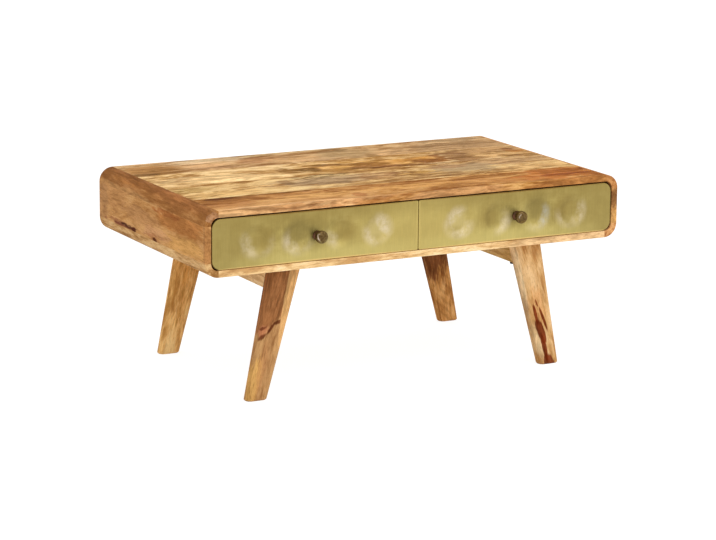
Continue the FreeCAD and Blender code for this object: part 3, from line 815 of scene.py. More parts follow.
@dataclass
class Tube:
    """The body: a tube of boards with rounded corner blocks, its back panel, divider and runners."""

    bottom_z: float = 256.0
    top_z: float = 382.0
    end_x: float = 450.0

    def on_top(
        self, x: float, y: float, along: float, across: float, deep: float, tone: Tone, strength: float = 0.7,
        ragged: float = 0.7, soft: float = 0.25, broken: float = 0.0,
    ) -> Patch:
        """A patch whose middle lies on the top's face."""
        return Patch((x, y, self.top_z), (along, across, deep), tone, strength, ragged, soft, broken=broken)

    def top_boards(self) -> dict[str, Finish]:
        """The finishes of the four boards of the top, each with its own figure.

        Returns:
            Each board's finish by its node.
        """
        on, top = self.on_top, self.top_z
        front = (
            on(-300, -155, 150, 24, 40, (184, 126, 68), 0.5),
            on(-385, -190, 60, 40, 40, (162, 102, 50), 0.6),
            on(-368, -134, 42, 10, 30, (110, 58, 18), 0.9),
            on(-280, -127, 150, 7, 20, (122, 76, 30), 0.8, broken=0.4),
            on(-180, -180, 90, 24, 40, (220, 168, 100), 0.5),
            on(-240, -212, 170, 20, 30, (184, 134, 82), 0.5),
            on(-112, -206, 14, 22, 30, (150, 88, 40), 0.6),
            on(20, -175, 120, 20, 40, (204, 148, 78), 0.6),
            on(180, -190, 110, 30, 40, (190, 132, 70), 0.6),
            on(210, -150, 90, 14, 30, (156, 100, 40), 0.6, broken=0.5),
            on(280, -205, 80, 30, 40, (174, 116, 56), 0.75),
            on(370, -180, 110, 52, 60, (184, 110, 46), 0.85),
            on(350, -190, 60, 9, 30, (138, 66, 24), 0.7),
            on(400, -150, 50, 10, 30, (150, 84, 26), 0.7),
            Patch((-250, -243, top - 2), (240, 20, 19), (222, 174, 120), 0.94, 0.3),
            Patch((-110, -243, top - 6), (260, 14, 14), (170, 106, 56), 0.5, broken=0.98),
            Patch((110, -243, top - 6), (160, 10, 15), (196, 146, 96), 0.85, 0.3),
            Patch((370, -242, top - 7), (150, 8, 13), (180, 120, 66), 0.8, 0.3),
        )
        second = (
            on(-340, -90, 100, 22, 40, (214, 172, 108), 0.7),
            on(-384, -34, 44, 26, 40, (170, 136, 74), 0.65),
            on(-90, -52, 120, 38, 40, (178, 146, 106), 0.85),
            on(-183, -38, 12, 24, 30, (146, 106, 60), 0.7, broken=0.3),
            on(-95, -12, 64, 22, 30, (98, 74, 32), 0.85, broken=0.95),
            on(20, -56, 60, 30, 40, (164, 116, 66), 0.8, broken=0.5),
            on(106, -66, 60, 24, 40, (196, 148, 72), 0.7),
            on(70, -60, 40, 26, 30, (116, 72, 30), 0.75, broken=0.95),
            on(180, -30, 50, 14, 30, (150, 98, 42), 0.75, broken=0.4),
            on(300, -20, 140, 32, 40, (182, 142, 96), 0.85),
            on(205, -52, 74, 46, 40, (160, 132, 94), 0.95, broken=0.2),
            on(185, -18, 44, 22, 40, (164, 124, 82), 0.8, broken=0.2),
            on(130, -92, 80, 20, 40, (174, 132, 80), 0.65),
            on(20, -112, 190, 9, 20, (140, 92, 40), 0.7, broken=0.6),
            on(330, -95, 90, 20, 40, (216, 172, 112), 0.6),
        )
        third = (
            on(-290, 50, 130, 44, 40, (250, 212, 152), 0.7),
            on(345, 108, 110, 34, 40, (178, 136, 86), 0.95),
            on(350, 50, 100, 30, 40, (204, 158, 100), 0.7),
            on(70, 58, 180, 46, 40, (210, 154, 76), 0.8),
            on(-84, 60, 26, 20, 30, (112, 78, 26), 0.9, broken=0.4),
            on(-126, 70, 22, 30, 30, (142, 100, 46), 0.8, broken=0.6),
            on(-25, 92, 50, 9, 30, (120, 76, 24), 0.95, broken=0.4),
            on(24, 80, 46, 12, 30, (126, 80, 26), 0.9, broken=0.5),
            on(40, 36, 62, 16, 30, (120, 74, 22), 0.95, broken=0.4),
            on(60, 62, 44, 24, 30, (150, 98, 36), 0.8),
            on(118, 28, 80, 12, 30, (118, 68, 18), 0.95, broken=0.4),
            on(175, 74, 64, 26, 30, (190, 132, 56), 0.8, 0.85, 0.4, broken=0.15),
            on(188, 42, 46, 18, 30, (140, 88, 28), 0.95, 0.85, 0.35, broken=0.1),
            on(168, 56, 30, 12, 30, (132, 80, 22), 0.9, 0.85, 0.35, broken=0.2),
            on(222, 76, 14, 30, 30, (146, 90, 30), 0.85),
            on(235, 15, 150, 8, 30, (118, 74, 28), 0.9, broken=0.6),
            on(258, 74, 36, 54, 30, (140, 98, 54), 0.9, broken=0.2),
            on(268, 38, 44, 14, 30, (146, 104, 58), 0.85, broken=0.15),
            on(390, 22, 60, 12, 30, (142, 96, 42), 0.75, broken=0.5),
            on(400, 74, 18, 14, 30, (204, 134, 62), 0.7),
            on(394, 95, 15, 15, 20, (136, 86, 44), 0.85, broken=0.3),
        )
        back = (
            on(-370, 185, 70, 50, 40, (166, 116, 58), 0.85),
            on(-250, 180, 50, 36, 40, (222, 174, 122), 0.7),
            on(0, 165, 70, 20, 40, (184, 148, 106), 0.6),
            on(-405, 146, 30, 16, 40, (122, 88, 46), 0.75, broken=0.5),
            on(-217, 162, 34, 14, 30, (126, 84, 38), 0.8, broken=0.6),
            on(-130, 200, 50, 34, 40, (168, 114, 66), 0.7, broken=0.4),
            on(-60, 180, 60, 30, 40, (208, 162, 108), 0.6),
            on(70, 190, 60, 50, 40, (166, 134, 88), 0.75),
            on(150, 160, 50, 24, 40, (222, 176, 122), 0.8),
            on(105, 150, 16, 20, 30, (146, 108, 56), 0.75),
            on(330, 176, 130, 56, 60, (174, 136, 92), 0.8),
            on(0, 255, 400, 8, 20, (206, 178, 128), 0.6),
            on(-225, 238, 80, 24, 40, (232, 200, 156), 0.8),
            on(340, 236, 90, 20, 40, (206, 170, 124), 0.7),
        )
        return {
            "top_board_1": Wood(
                ((146, 90, 38), (194, 138, 74), (224, 174, 108)), pith=(0, -140, 300), tilt=(3.0, 2.0),
                seed=1.0, waver=34, vein=0.5, patches=front,
            ),
            "top_board_2": Wood(
                ((150, 104, 50), (206, 160, 98), (238, 202, 140)), pith=(0, -60, 320), tilt=(-2.0, -2.0),
                seed=2.0, waver=40, figure=1.25, vein=0.35, patches=second,
            ),
            "top_board_3": Wood(
                ((168, 120, 60), (222, 178, 114), (252, 218, 160)), pith=(40, 70, 330), tilt=(-2.5, 3.0),
                seed=3.0, waver=46, figure=1.2, vein=0.5, patches=third,
            ),
            "top_board_4": Wood(
                ((146, 102, 56), (194, 150, 98), (222, 182, 130)), pith=(0, 180, 300), tilt=(2.0, -3.0),
                seed=4.0, waver=36, vein=0.35, patches=back,
            ),
        }

    def ends(self) -> dict[str, Finish]:
        """The finishes of the side boards and corner blocks, whose grain runs from front to back.

        Returns:
            Each piece's finish by its node.
        """
        left, bottom, top = -self.end_x, self.bottom_z, self.top_z
        across, crack = Grain.FRONT_TO_BACK, (70, 32, 12)
        side = (
            Patch((left, -120, bottom + 84), (110, 20, 20), (184, 118, 60), 0.75),
            Patch((left, -60, bottom + 92), (60, 20, 7), (158, 88, 44), 0.6, broken=0.5),
            Patch((left, -150, bottom + 44), (90, 20, 16), (206, 154, 86), 0.7),
            Patch((left, -20, bottom + 44), (60, 20, 10), (190, 138, 100), 0.5),
            Patch((left, 200, bottom + 84), (80, 20, 30), (178, 126, 76), 0.65),
            Patch((left, 240, bottom + 63), (20, 30, 60), (168, 122, 78), 0.7),
            Patch((left, 60, bottom + 64), (80, 20, 18), (182, 132, 84), 0.6),
            Patch((left, 141, bottom + 33), (80, 12, 6), (146, 88, 56), 0.75, broken=0.4),
            Patch((left, 164, bottom + 31), (54, 12, 2.2), (120, 66, 44), 0.9, 0.8, 0.3, sunk=2.0),
            Patch((left, 119, bottom + 34), (36, 12, 3.6), crack, 0.98, 0.9, 0.3, sunk=3.0, broken=0.4),
            Patch((left, 91, bottom + 32), (12, 12, 5), (82, 34, 8), 0.98, 0.4, 0.3, sunk=3.0),
            Patch((left, -9, bottom + 31), (26, 12, 12), (160, 102, 62), 0.6),
            Patch((left, -9, bottom + 31), (10, 12, 5.5), (86, 40, 12), 0.97, 0.5, 0.3, sunk=2.0),
            Patch((left + 6, -240, bottom + 63), (8, 16, 60), (168, 116, 68), 0.75),
        )
        corner = (
            # Painted highlight on the front arris of the upper left block.
            Patch((left + 8, -243, top - 6), (9, 22, 14), (216, 166, 126), 0.65),
            Patch((left + 20, -60, top), (90, 12, 14), (122, 66, 26), 0.6, broken=0.6),
            Patch((left + 6, 150, top), (110, 12, 12), (182, 118, 54), 0.6),
            Patch((left + 20, 60, top), (320, 24, 10), (138, 86, 42), 0.75, 0.3),
            Patch((left + 12, -90, top - 6), (120, 14, 20), (172, 112, 62), 0.6, 0.5),
            Patch((left + 6, 170, top - 10), (110, 12, 14), (152, 100, 56), 0.5, 0.5),
            Patch((left, 150, top - 27), (200, 20, 9), (186, 136, 84), 0.85, 0.6),
        )
        return {
            "side_board_left": Wood(
                ((160, 106, 54), (196, 143, 86), (218, 168, 110)), across, (left + 60, 0, 330), (0.5, 1.5),
                seed=11.0, figure=0.6, vein=0.15, patches=side,
            ),
            "side_board_right": Wood(
                ((136, 84, 40), (182, 127, 70), (214, 162, 100)), across, (390, 0, 300), (2.0, -3.0),
                seed=12.0, figure=0.65, vein=0.3, patches=(
                    Patch((444, -230, bottom + 78), (60, 20, 24), (138, 94, 54), 0.9),
                    Patch((444, -230, bottom + 42), (60, 20, 15), (216, 164, 98), 0.85),
                ),
            ),
            "corner_block_upper_left": Wood(
                ((136, 86, 42), (170, 116, 64), (196, 144, 90)), across, (-400, 0, 340), (1.0, 1.0), 7, 12,
                seed=13.0, figure=0.7, vein=0.3, patches=corner,
            ),
            "corner_block_upper_right": Wood(
                ((164, 106, 58), (198, 138, 82), (224, 168, 108)), across, (380, 0, 330), (1.0, -1.0), 8, 14,
                seed=14.0,
            ),
            "corner_block_lower_left": Wood(
                ((158, 112, 62), (198, 152, 98), (224, 184, 128)), across, (-390, 0, 300), (-1.0, 1.0), 8, 14,
                seed=15.0,
            ),
            "corner_block_lower_right": Wood(
                ((158, 102, 58), (198, 138, 84), (226, 170, 112)), across, (395, 0, 310), (1.0, 2.0), 8, 14,
                seed=16.0,
            ),
        }

    def bottom_boards(self) -> dict[str, Finish]:
        """The finishes of the four boards of the bottom.

        Returns:
            Each board's finish by its node.
        """
        # The front board's tones are much paler than the other bottom boards': partly the wood, partly
        # painted light on its brightly lit front face.
        rim = Patch((345, -238, self.bottom_z + 4), (130, 20, 20), (224, 182, 132), 0.75, 0.3)
        front = Wood(
            ((208, 162, 106), (242, 204, 146), (253, 224, 174)), pith=(0, -150, 230), tilt=(1.0, 2.0),
            seed=21.0, vein=0.25, patches=(rim,),
        )
        tones = (160, 112, 66), (204, 154, 100), (228, 184, 130)
        return {"bottom_board_1": front} | {
            f"bottom_board_{index}": Wood(
                tones, pith=(0, -150 + 120 * index, 220), tilt=(index - 2.5, 3.0 - index), seed=20.0 + index
            )
            for index in (2, 3, 4)
        }

    def inside(self) -> dict[str, Finish]:
        """The finishes of the back panel, the divider and the runners.

        Returns:
            Each piece's finish by its node.
        """
        tones = (150, 104, 62), (190, 142, 92), (216, 172, 120)
        return {
            "back_panel": Wood(tones, pith=(0, 240, 250), tilt=(1.0, 1.0), seed=31.0, figure=0.7, vein=0.3),
            "centre_divider": Wood(tones, Grain.FRONT_TO_BACK, (30, 0, 330), (1.0, 2.0), seed=32.0),
        } | {
            f"runner_{side}_{place}": Wood(
                tones, Grain.FRONT_TO_BACK, (sign * 300, 0, 300), seed=33.0 + index, vein=0.3
            )
            for index, (side, sign) in enumerate(SIDES.items()) for place in ("outer", "inner")
        }

    def build(self, effects: Effects) -> None:
        """Dresses the body's pieces."""
        for finishes in (self.top_boards(), self.ends(), self.bottom_boards(), self.inside()):
            dress(finishes, effects)


@dataclass
class LegFrames:
    """The four legs and the two rails between them."""

    front_y: float = -208.0

    def left_front(self) -> Wood:
        """The leg that is dark above a slanting line and has a pale strip down its inner edge.

        Returns:
            The leg's finish.
        """
        y, lean = self.front_y, (0, -40, 0)
        dark, brown = (88, 36, 14), (152, 100, 60)
        patches = (
            Patch((-377, y, 225), (170, 500, 111), brown, 0.94, 0.06, 0.03, lean),
            Patch((-320, y, 132), (20, 14, 8), (180, 116, 80), 0.75, 0.3, 0.3, lean),
            Patch((-320, y - 4, 121), (17, 14, 3.4), dark, 0.85, 0.6, 0.4, (0, -38, 0)),
            Patch((-300, y - 4, 140), (13, 14, 3), dark, 0.9, 0.6, 0.4, (0, -25, 0)),
            Patch((-285, y - 4, 151), (10, 14, 3.4), dark, 0.85, 0.6, 0.4, (0, -62, 0)),
            Patch((-317, y - 4, 139), (13, 14, 2.4), dark, 0.75, 0.5, 0.4, (0, -49, 0)),
            Patch((-310, y - 4, 228), (14, 14, 4), (156, 76, 46), 0.5, 0.7, 0.4),
            Patch((-256, y, 214), (120, 60, 13), (212, 164, 106), 0.92, 0.06, 0.1),
            Patch((-335, y, 30), (60, 30, 12), (214, 166, 92), 0.6),
            Patch((-318, y, 60), (50, 30, 8), (170, 118, 74), 0.5),
        )
        return Wood(
            ((136, 92, 52), (174, 127, 80), (198, 152, 100)), Grain.LEFT_LEG, (-300, -150, 128), (2.0, 1.0),
            9, 16, seed=41.0, vein=0.3, patches=patches,
        )

    def right_front(self) -> Wood:
        """The leg with the dark red streak.

        Returns:
            The leg's finish.
        """
        y, red = self.front_y, (118, 46, 16)
        patches = (
            # Painted highlight down the leg's rounded inner edge.
            Patch((248, y, 180), (110, 40, 9), (234, 206, 162), 0.85, 0.2),
            Patch((290, y, 120), (40, 16, 16), (206, 146, 86), 0.5),
            Patch((297, y + 20, 52), (54, 20, 9), (242, 210, 160), 0.95, 0.3),
            Patch((286, y, 106), (24, 14, 3.2), red, 0.95, 0.25, 0.2, (0, 3, 0)),
            Patch((300, y, 70), (30, 14, 8.4), red, 0.95, 0.3, 0.12, (0, 7, 0)),
            Patch((310, y, 36), (32, 14, 5.2), red, 0.95, 0.3, 0.15, (0, 3, 0)),
            Patch((324, y, 0), (25, 14, 12), red, 0.92, 0.25, 0.15, (0, 8, 0)),
            Patch((286.5, y, 130), (9, 14, 1.8), red, 0.9, 0.15, 0.3, (0, 8, 0)),
            Patch((304, y, 96), (27, 14, 2.8), red, 0.95, 0.3, 0.25, (0, 9, 0)),
        )
        return Wood(
            ((180, 128, 74), (210, 165, 108), (230, 190, 138)), Grain.RIGHT_LEG, (300, -150, 128),
            (2.0, -1.0), 9, 16, seed=42.0, vein=0.25, patches=patches,
        )

    def left_back(self) -> Wood:
        """The pale leg.

        Returns:
            The leg's finish.
        """
        patches = (
            Patch((-285, 190, 235), (90, 60, 40), (216, 154, 80), 0.6),
            Patch((-296, 190, 130), (60, 60, 10), (190, 130, 60), 0.6),
        )
        return Wood(
            ((186, 132, 68), (236, 186, 116), (254, 218, 152)), Grain.LEFT_LEG, (-300, 260, 128), (1.0, 2.0),
            9, 16, seed=43.0, vein=0.3, patches=patches,
        )

    def right_back(self) -> Wood:
        """The leg that is dark above and has slanting arcs below.

        Returns:
            The leg's finish.
        """
        patches = (
            Patch((270, 200, 205), (105, 90, 105), (124, 74, 42), 0.92, 0.5, 0.25),
            Patch((262, 180, 200), (40, 40, 5), (140, 88, 48), 0.6),
            *(
                Patch((311, 180, height), (26, 60, 2.6), (118, 68, 32), 0.26, 0.8, 0.5, (0, 38, 0))
                for height in (14, 29, 45, 62, 80, 100)
            ),
        )
        return Wood(
            ((150, 96, 46), (206, 148, 84), (238, 186, 120)), Grain.RIGHT_LEG, (290, 270, 128), (-2.0, 2.0),
            9, 30, seed=44.0, vein=0.35, patches=patches,
        )

    def build(self, effects: Effects) -> None:
        """Dresses the legs and the rails.

        Args:
            effects: The shared node groups.
        """
        # The left rail's tones are raised above the right rail's as painted light against the shade under the
        # table.
        pale = (180, 138, 88), (240, 202, 148), (252, 228, 184)
        rail = (150, 108, 54), (212, 174, 108), (240, 206, 146)
        across = Grain.FRONT_TO_BACK
        dress({
            "leg_front_left": self.left_front(), "leg_front_right": self.right_front(),
            "leg_back_left": self.left_back(), "leg_back_right": self.right_back(),
            "leg_rail_left": Wood(pale, across, (-260, 0, 260), (1.0, 1.0), seed=45.0, figure=0.6),
            "leg_rail_right": Wood(rail, across, (280, 0, 260), (1.0, 1.0), seed=46.0, figure=0.6),
        }, effects)


@dataclass
class RailBolts:
    """The eight domed bolts, with a cross recess each, that hold the rails' ends up to the body.

    Sizes are in millimetres. The crown and the recess are shares of the head's radius and height.
    """

    rail_x: float = 271.0
    pair_pitch: float = 20.0
    middle_y: float = 11.5
    reach_y: float = 166.0
    under_z: float = 206.0
    head_radius: float = 5.0
    head_height: float = 5.0
    crown: float = 0.86
    crown_fall: float = 0.16
    recess_reach: float = 0.62
    recess_half: float = 0.14
    recess_depth: float = 0.45
    crown_rings: int = 16
    edge_rings: int = 7
    sides: int = 32
    seed: int = 7
    finish: WornMetal = field(default_factory=lambda: WornMetal((70, 64, 62), (34, 30, 32), 0.42))

    def profile(self, ring: int) -> tuple[float, float]:
        """Follows the head's outline from its middle outwards.

        Args:
            ring: The ring's number, counted from the middle.

        Returns:
            How far out the ring lies and how far down it hangs, as shares of the radius and the height.
        """
        if ring < self.crown_rings:
            share = ring / self.crown_rings
            return share * self.crown, 1.0 - self.crown_fall * share ** 2
        step = (ring - self.crown_rings) / (self.edge_rings - 1)
        angle = math.radians(90 * step)
        drop = (1.0 - self.crown_fall) * math.cos(angle) ** 0.7 if step < 1 else 0.0
        return self.crown + (1.0 - self.crown) * math.sin(angle), drop

    def head(self) -> bpy.types.Object:
        """One bolt's head, hanging from the origin: a dome with a cross-shaped recess.

        Returns:
            The object, which is removed once the bolts are placed.
        """
        work = bmesh.new()
        rings = []
        for ring in range(self.crown_rings + self.edge_rings):
            share, drop = self.profile(ring)
            rings.append([])
            for side in range(self.sides if ring else 1):
                turn = math.tau * side / self.sides
                x, y = share * math.cos(turn), share * math.sin(turn)
                low, high = sorted((abs(x), abs(y)))
                cut = self.recess_depth if low < self.recess_half and high < self.recess_reach else 0.0
                place = mm(x * self.head_radius, y * self.head_radius, -self.head_height * (drop - cut))
                rings[-1].append(work.verts.new(place))
        bridge(work, rings)
        work.faces.new(rings[-1])
        return new_object("bolt_head", mesh_of("bolt_head", work))

    def tree(self) -> Tree:
        """Sets a bolt at each of the eight places, each turned at random about its axis.

        Returns:
            The Geometry Nodes tree.
        """
        net = Group(
            "set_bolts",
            {
                "Geometry": "Geometry", "Head": "Object", "Rail X": 0.0, "Pair Pitch": 0.0, "Middle Y": 0.0,
                "Reach Y": 0.0, "Under Z": 0.0, "Seed": 0, "Material": "Material",
            },
            ("Geometry",),
        )
        given, index = net.given, net.add("GeometryNodeInputIndex")
        near, side, end = (
            net.math("MODULO", net.math("FLOOR", index / step), 2.0) * 2.0 - 1.0 for step in (1.0, 2.0, 4.0)
        )
        x = side * given["Rail X"] + near * (given["Pair Pitch"] * 0.5)
        y = end * given["Reach Y"] + given["Middle Y"]
        place = net.add("ShaderNodeCombineXYZ", {0: x, 1: y, 2: given["Under Z"]})
        points = net.add("GeometryNodePoints", {"Count": 8, "Position": place})
        limits = {2: 0.0, 3: math.tau, "Seed": given["Seed"]}
        spin = net.add("FunctionNodeRandomValue", limits, data_type="FLOAT")[1]
        turn = net.add("ShaderNodeCombineXYZ", {2: spin})
        head = net.add("GeometryNodeObjectInfo", {"Object": given["Head"]})["Geometry"]
        placed = {"Points": points, "Instance": head, "Rotation": turn}
        return net.close_solid(net.add("GeometryNodeInstanceOnPoints", placed))

    def build(self, effects: Effects) -> None:
        """Builds the bolts and lets them stand for the part's plain ones.

        Args:
            effects: The shared node groups.
        """
        head = self.head()
        mesh = run_tree(bpy.data.meshes.new("bolt_places"), self.tree(), {
            "Head": head, "Rail X": self.rail_x * MM, "Pair Pitch": self.pair_pitch * MM,
            "Middle Y": self.middle_y * MM, "Reach Y": self.reach_y * MM, "Under Z": self.under_z * MM,
            "Seed": self.seed, "Material": self.finish.make("bolt_steel", effects),
        })
        bpy.data.objects.remove(head)
        new_piece("rail_bolt_heads", mesh, "table", "rail_bolts")


@dataclass
class Drawer:
    """One drawer: its wooden box, the brass pan over its front, the knob and its screw.

    Sizes are in millimetres, for the right drawer. The left one is its mirror image.
    """

    side: str
    middle_x: float = 217.8
    middle_z: float = 318.2
    face_y: float = -237.5
    pan_inner: float = 0.4
    pan_outer: float = 435.2
    pan_bottom: float = 269.6
    pan_top: float = 366.8
    outer_corner: float = 19.0
    seam_corner: float = 3.0
    fold: float = 1.6
    flange: float = 17.0
    sheet: float = 1.0
    grid: float = 1.6
    corner_rows: int = 12
    fold_steps: int = 6
    dimple_pitch: float = 86.0
    dimple_count: int = 4
    dimple_radius: float = 34.0
    dimple_floor: float = 11.0
    dimple_depth: float = 4.0
    waviness: float = 1.2
    knob_length: float = 24.0
    knob_base: float = 9.5
    knob_base_height: float = 3.0
    knob_neck: float = 9.0
    knob_neck_length: float = 11.5
    knob_waist: float = 3.5
    knob_flare: float = 1.5
    knob_head: float = 12.2
    knob_edge: float = 2.5
    knob_crown: float = 60.0
    knob_steps: int = 8
    neck_steps: int = 12

    @property
    def drift(self) -> tuple[float, ...]:
        """How far the painted shade and highlights of each dimple lie beside its middle."""
        return (5.0, 4.0, 5.0, 1.0) if self.side == "left" else (0.0, -3.0, 1.0, -4.0)

    @property
    def sign(self) -> int:
        """Which way the drawer's own side lies along X."""
        return SIDES[self.side]

    def row_heights(self) -> list[float]:
        """Spaces the grid's rows, closer together where the corners turn.

        Returns:
            The rows' heights, from the bottom up.
        """
        flat = self.outer_corner - self.fold
        low, high = self.pan_bottom + self.outer_corner, self.pan_top - self.outer_corner
        turns = [math.radians(90 * step / self.corner_rows) for step in range(self.corner_rows + 1)]
        count = round((high - low) / self.grid)
        between = [low + (high - low) * row / count for row in range(1, count)]
        above = [high + flat * math.sin(turn) for turn in turns]
        return [low - flat * math.cos(turn) for turn in turns] + between + above

    def rise(self, z: float, radius: float) -> float:
        """How far a height lies above or below the stretch between two corners of a radius."""
        return z - min(max(z, self.pan_bottom + radius), self.pan_top - radius)

    def inset(self, z: float, radius: float) -> float:
        """How far the flat of the pan stays off its outline at a height, on a side with such corners."""
        return radius - math.sqrt(max((radius - self.fold) ** 2 - self.rise(z, radius) ** 2, 0.0))

    def outward(self, x: float, z: float) -> Vector:
        """Finds the way out of the pan's outline at a point of the flat's rim.

        Args:
            x: The point's place along X.
            z: The point's height.

        Returns:
            The direction, in the XZ plane.
        """
        radius = self.outer_corner if x > self.middle_x else self.seam_corner
        middle = min(max(x, self.pan_inner + radius), self.pan_outer - radius)
        return Vector((x - middle, 0.0, self.rise(z, radius))).normalized()

    @staticmethod
    def rim(rows: list[list]) -> list:
        """The outline of a sheet given in rows, once round."""
        ends, starts = [row[-1] for row in rows[1:-1]], [row[0] for row in rows[-2:0:-1]]
        return rows[0] + ends + rows[-1][::-1] + starts

    def pan_skin(self) -> MeshData:
        """The pan's outer skin before it is pressed: a fine grid, the fold round it and the flange.

        Returns:
            The mesh, open at the back.
        """
        work = bmesh.new()
        columns = round((self.pan_outer - self.pan_inner) / self.grid)
        rows = []
        for z in self.row_heights():
            near = self.pan_inner + self.inset(z, self.seam_corner)
            far = self.pan_outer - self.inset(z, self.outer_corner)
            across = [near + (far - near) * step / columns for step in range(columns + 1)]
            rows.append([Vector((x, self.face_y, z)) for x in across])
        mirror = Vector((self.sign * MM, MM, MM))
        verts = [[work.verts.new(place * mirror) for place in row] for row in rows]
        for lower, upper in zip(verts, verts[1:]):
            for step in range(columns):
                work.faces.new((lower[step], lower[step + 1], upper[step + 1], upper[step]))
        places, loops = self.rim(rows), [self.rim(verts)]
        ways = [self.outward(place.x, place.z) for place in places]
        turns = [math.radians(90 * step / self.fold_steps) for step in range(1, self.fold_steps + 1)]
        bends = [(self.fold * math.sin(turn), self.fold * (1 - math.cos(turn))) for turn in turns]
        for out, back in [*bends, (self.fold, self.flange / 2), (self.fold, self.flange)]:
            moved = [place + way * out + Vector((0.0, back, 0.0)) for place, way in zip(places, ways)]
            loops.append([work.verts.new(place * mirror) for place in moved])
        bridge(work, loops)
        mesh = mesh_of(f"{self.side}_pan_skin", work, sharp=False)
        if mesh.polygons[0].normal.y > 0:
            mesh.flip_normals()
        return mesh

    def crown(self, radius: float) -> float:
        """Where the knob's domed face lies along its axis, at a radius."""
        return self.knob_crown - self.knob_length - math.sqrt(self.knob_crown ** 2 - radius ** 2)

    def knob_outline(self) -> list[tuple[float, float]]:
        """The knob's outline from the middle of its head back to the middle of its foot.

        Returns:
            Each point's way along the axis and its radius.
        """
        rim, edge = self.knob_head - self.knob_edge, self.knob_edge
        radii = [rim * step / self.knob_steps for step in range(self.knob_steps + 1)]
        turns = [math.radians(90 * step / self.knob_steps) for step in range(1, self.knob_steps + 1)]
        points = [(self.crown(radius), radius) for radius in radii]
        back = self.crown(rim) + edge
        points += [(back - edge * math.cos(turn), rim + edge * math.sin(turn)) for turn in turns]
        neck_end = -self.knob_base_height - self.knob_neck_length
        points.append((neck_end - self.knob_flare, self.knob_head))
        for step in range(self.neck_steps + 1):
            share = step / self.neck_steps
            radius = self.knob_neck + (self.knob_base - self.knob_neck) * share
            radius -= 4 * self.knob_waist * share * (1 - share)
            points.append((neck_end + self.knob_neck_length * share, radius))
        return [*points, (0.0, self.knob_base), (0.0, 0.0)]

    def dimple(self, index: int) -> Point:
        """The middle of one dimple, counted from the left end of the table."""
        first = self.sign * self.middle_x - self.dimple_pitch * (self.dimple_count - 1) / 2
        return first + self.dimple_pitch * (index % self.dimple_count), self.face_y, self.middle_z

    def spot(self, index: int, across: float, up: float, size: float, tone: Tone, strength: float) -> Patch:
        """A soft round patch in a dimple: painted shade where its tone is dark, painted reflection where it
        is pale.

        Args:
            index: The dimple, counted from the left.
            across: How far the patch lies to the right of the middle of the dimple's marks.
            up: How far it lies above that middle.
            size: Its radius.
            tone: Its tone.
            strength: How much it covers.

        Returns:
            The patch.
        """
        x, y, z = self.dimple(index)
        x += self.drift[index] + across
        return Patch((x, y, z + up), (size, 30.0, size), tone, strength, ragged=0.25, soft=0.55)

    def painted_highlight(
        self, index: int, facing: float, reach: float, strength: float, radius: float = 25.0,
        width: float = 11.0, tone: Tone = (222, 207, 176),
    ) -> PaintedHighlight:
        """A painted highlight in a dimple: a pale arc that stands for a reflection."""
        x, y, z = self.dimple(index)
        return PaintedHighlight((x + self.drift[index], y, z), facing, reach, radius, width, tone, strength)

    def pan_finish(self) -> PressedBrass:
        """The brass of this drawer's pan, with painted light and shade on its flat, and painted shade,
        reflections and highlights in each dimple.

        Returns:
            The pan's finish.
        """
        # The first three tones are painted shade for the dimples, the last two painted reflection.
        olive, deep, lower_shade = (146, 124, 66), (134, 118, 68), (164, 146, 88)
        cool, pale_reflection = (188, 188, 180), (206, 190, 142)
        sign, y = self.sign, self.face_y
        # Painted light and shade on the flat of the pan: lighter towards the seam and darker at the outer end
        # as painted reflection, a band of painted shade under the top rim, a band of painted light low down
        # over the knob's shadow, painted highlights along the seam and the bottom fold, and a line of painted
        # shadow along the top fold.
        painted_light_and_shade = [
            Patch((sign * 30, y, 310), (110, 60, 90), (188, 168, 100), 0.8, 0.2, 0.7),
            Patch((sign * 410, y, 310), (80, 60, 90), (156, 137, 79), 0.7, 0.2, 0.7),
            Patch((sign * 215, y, 364), (230, 60, 22), (148, 127, 70), 0.6, 0.2, 0.8),
            Patch((sign * 190, y, 276), (170, 60, 20), (200, 184, 114), 0.65, 0.1, 0.7),
            Patch((0, y, 318), (4, 30, 70), (206, 184, 112), 0.5, 0.1, 0.3),
            Patch((sign * 218, y, 269), (240, 30, 4), (220, 190, 122), 0.9, 0.1, 0.3),
            Patch((sign * 218, y, 367), (226, 30, 2.4), (112, 68, 16), 0.6, 0.1, 0.5),
        ]
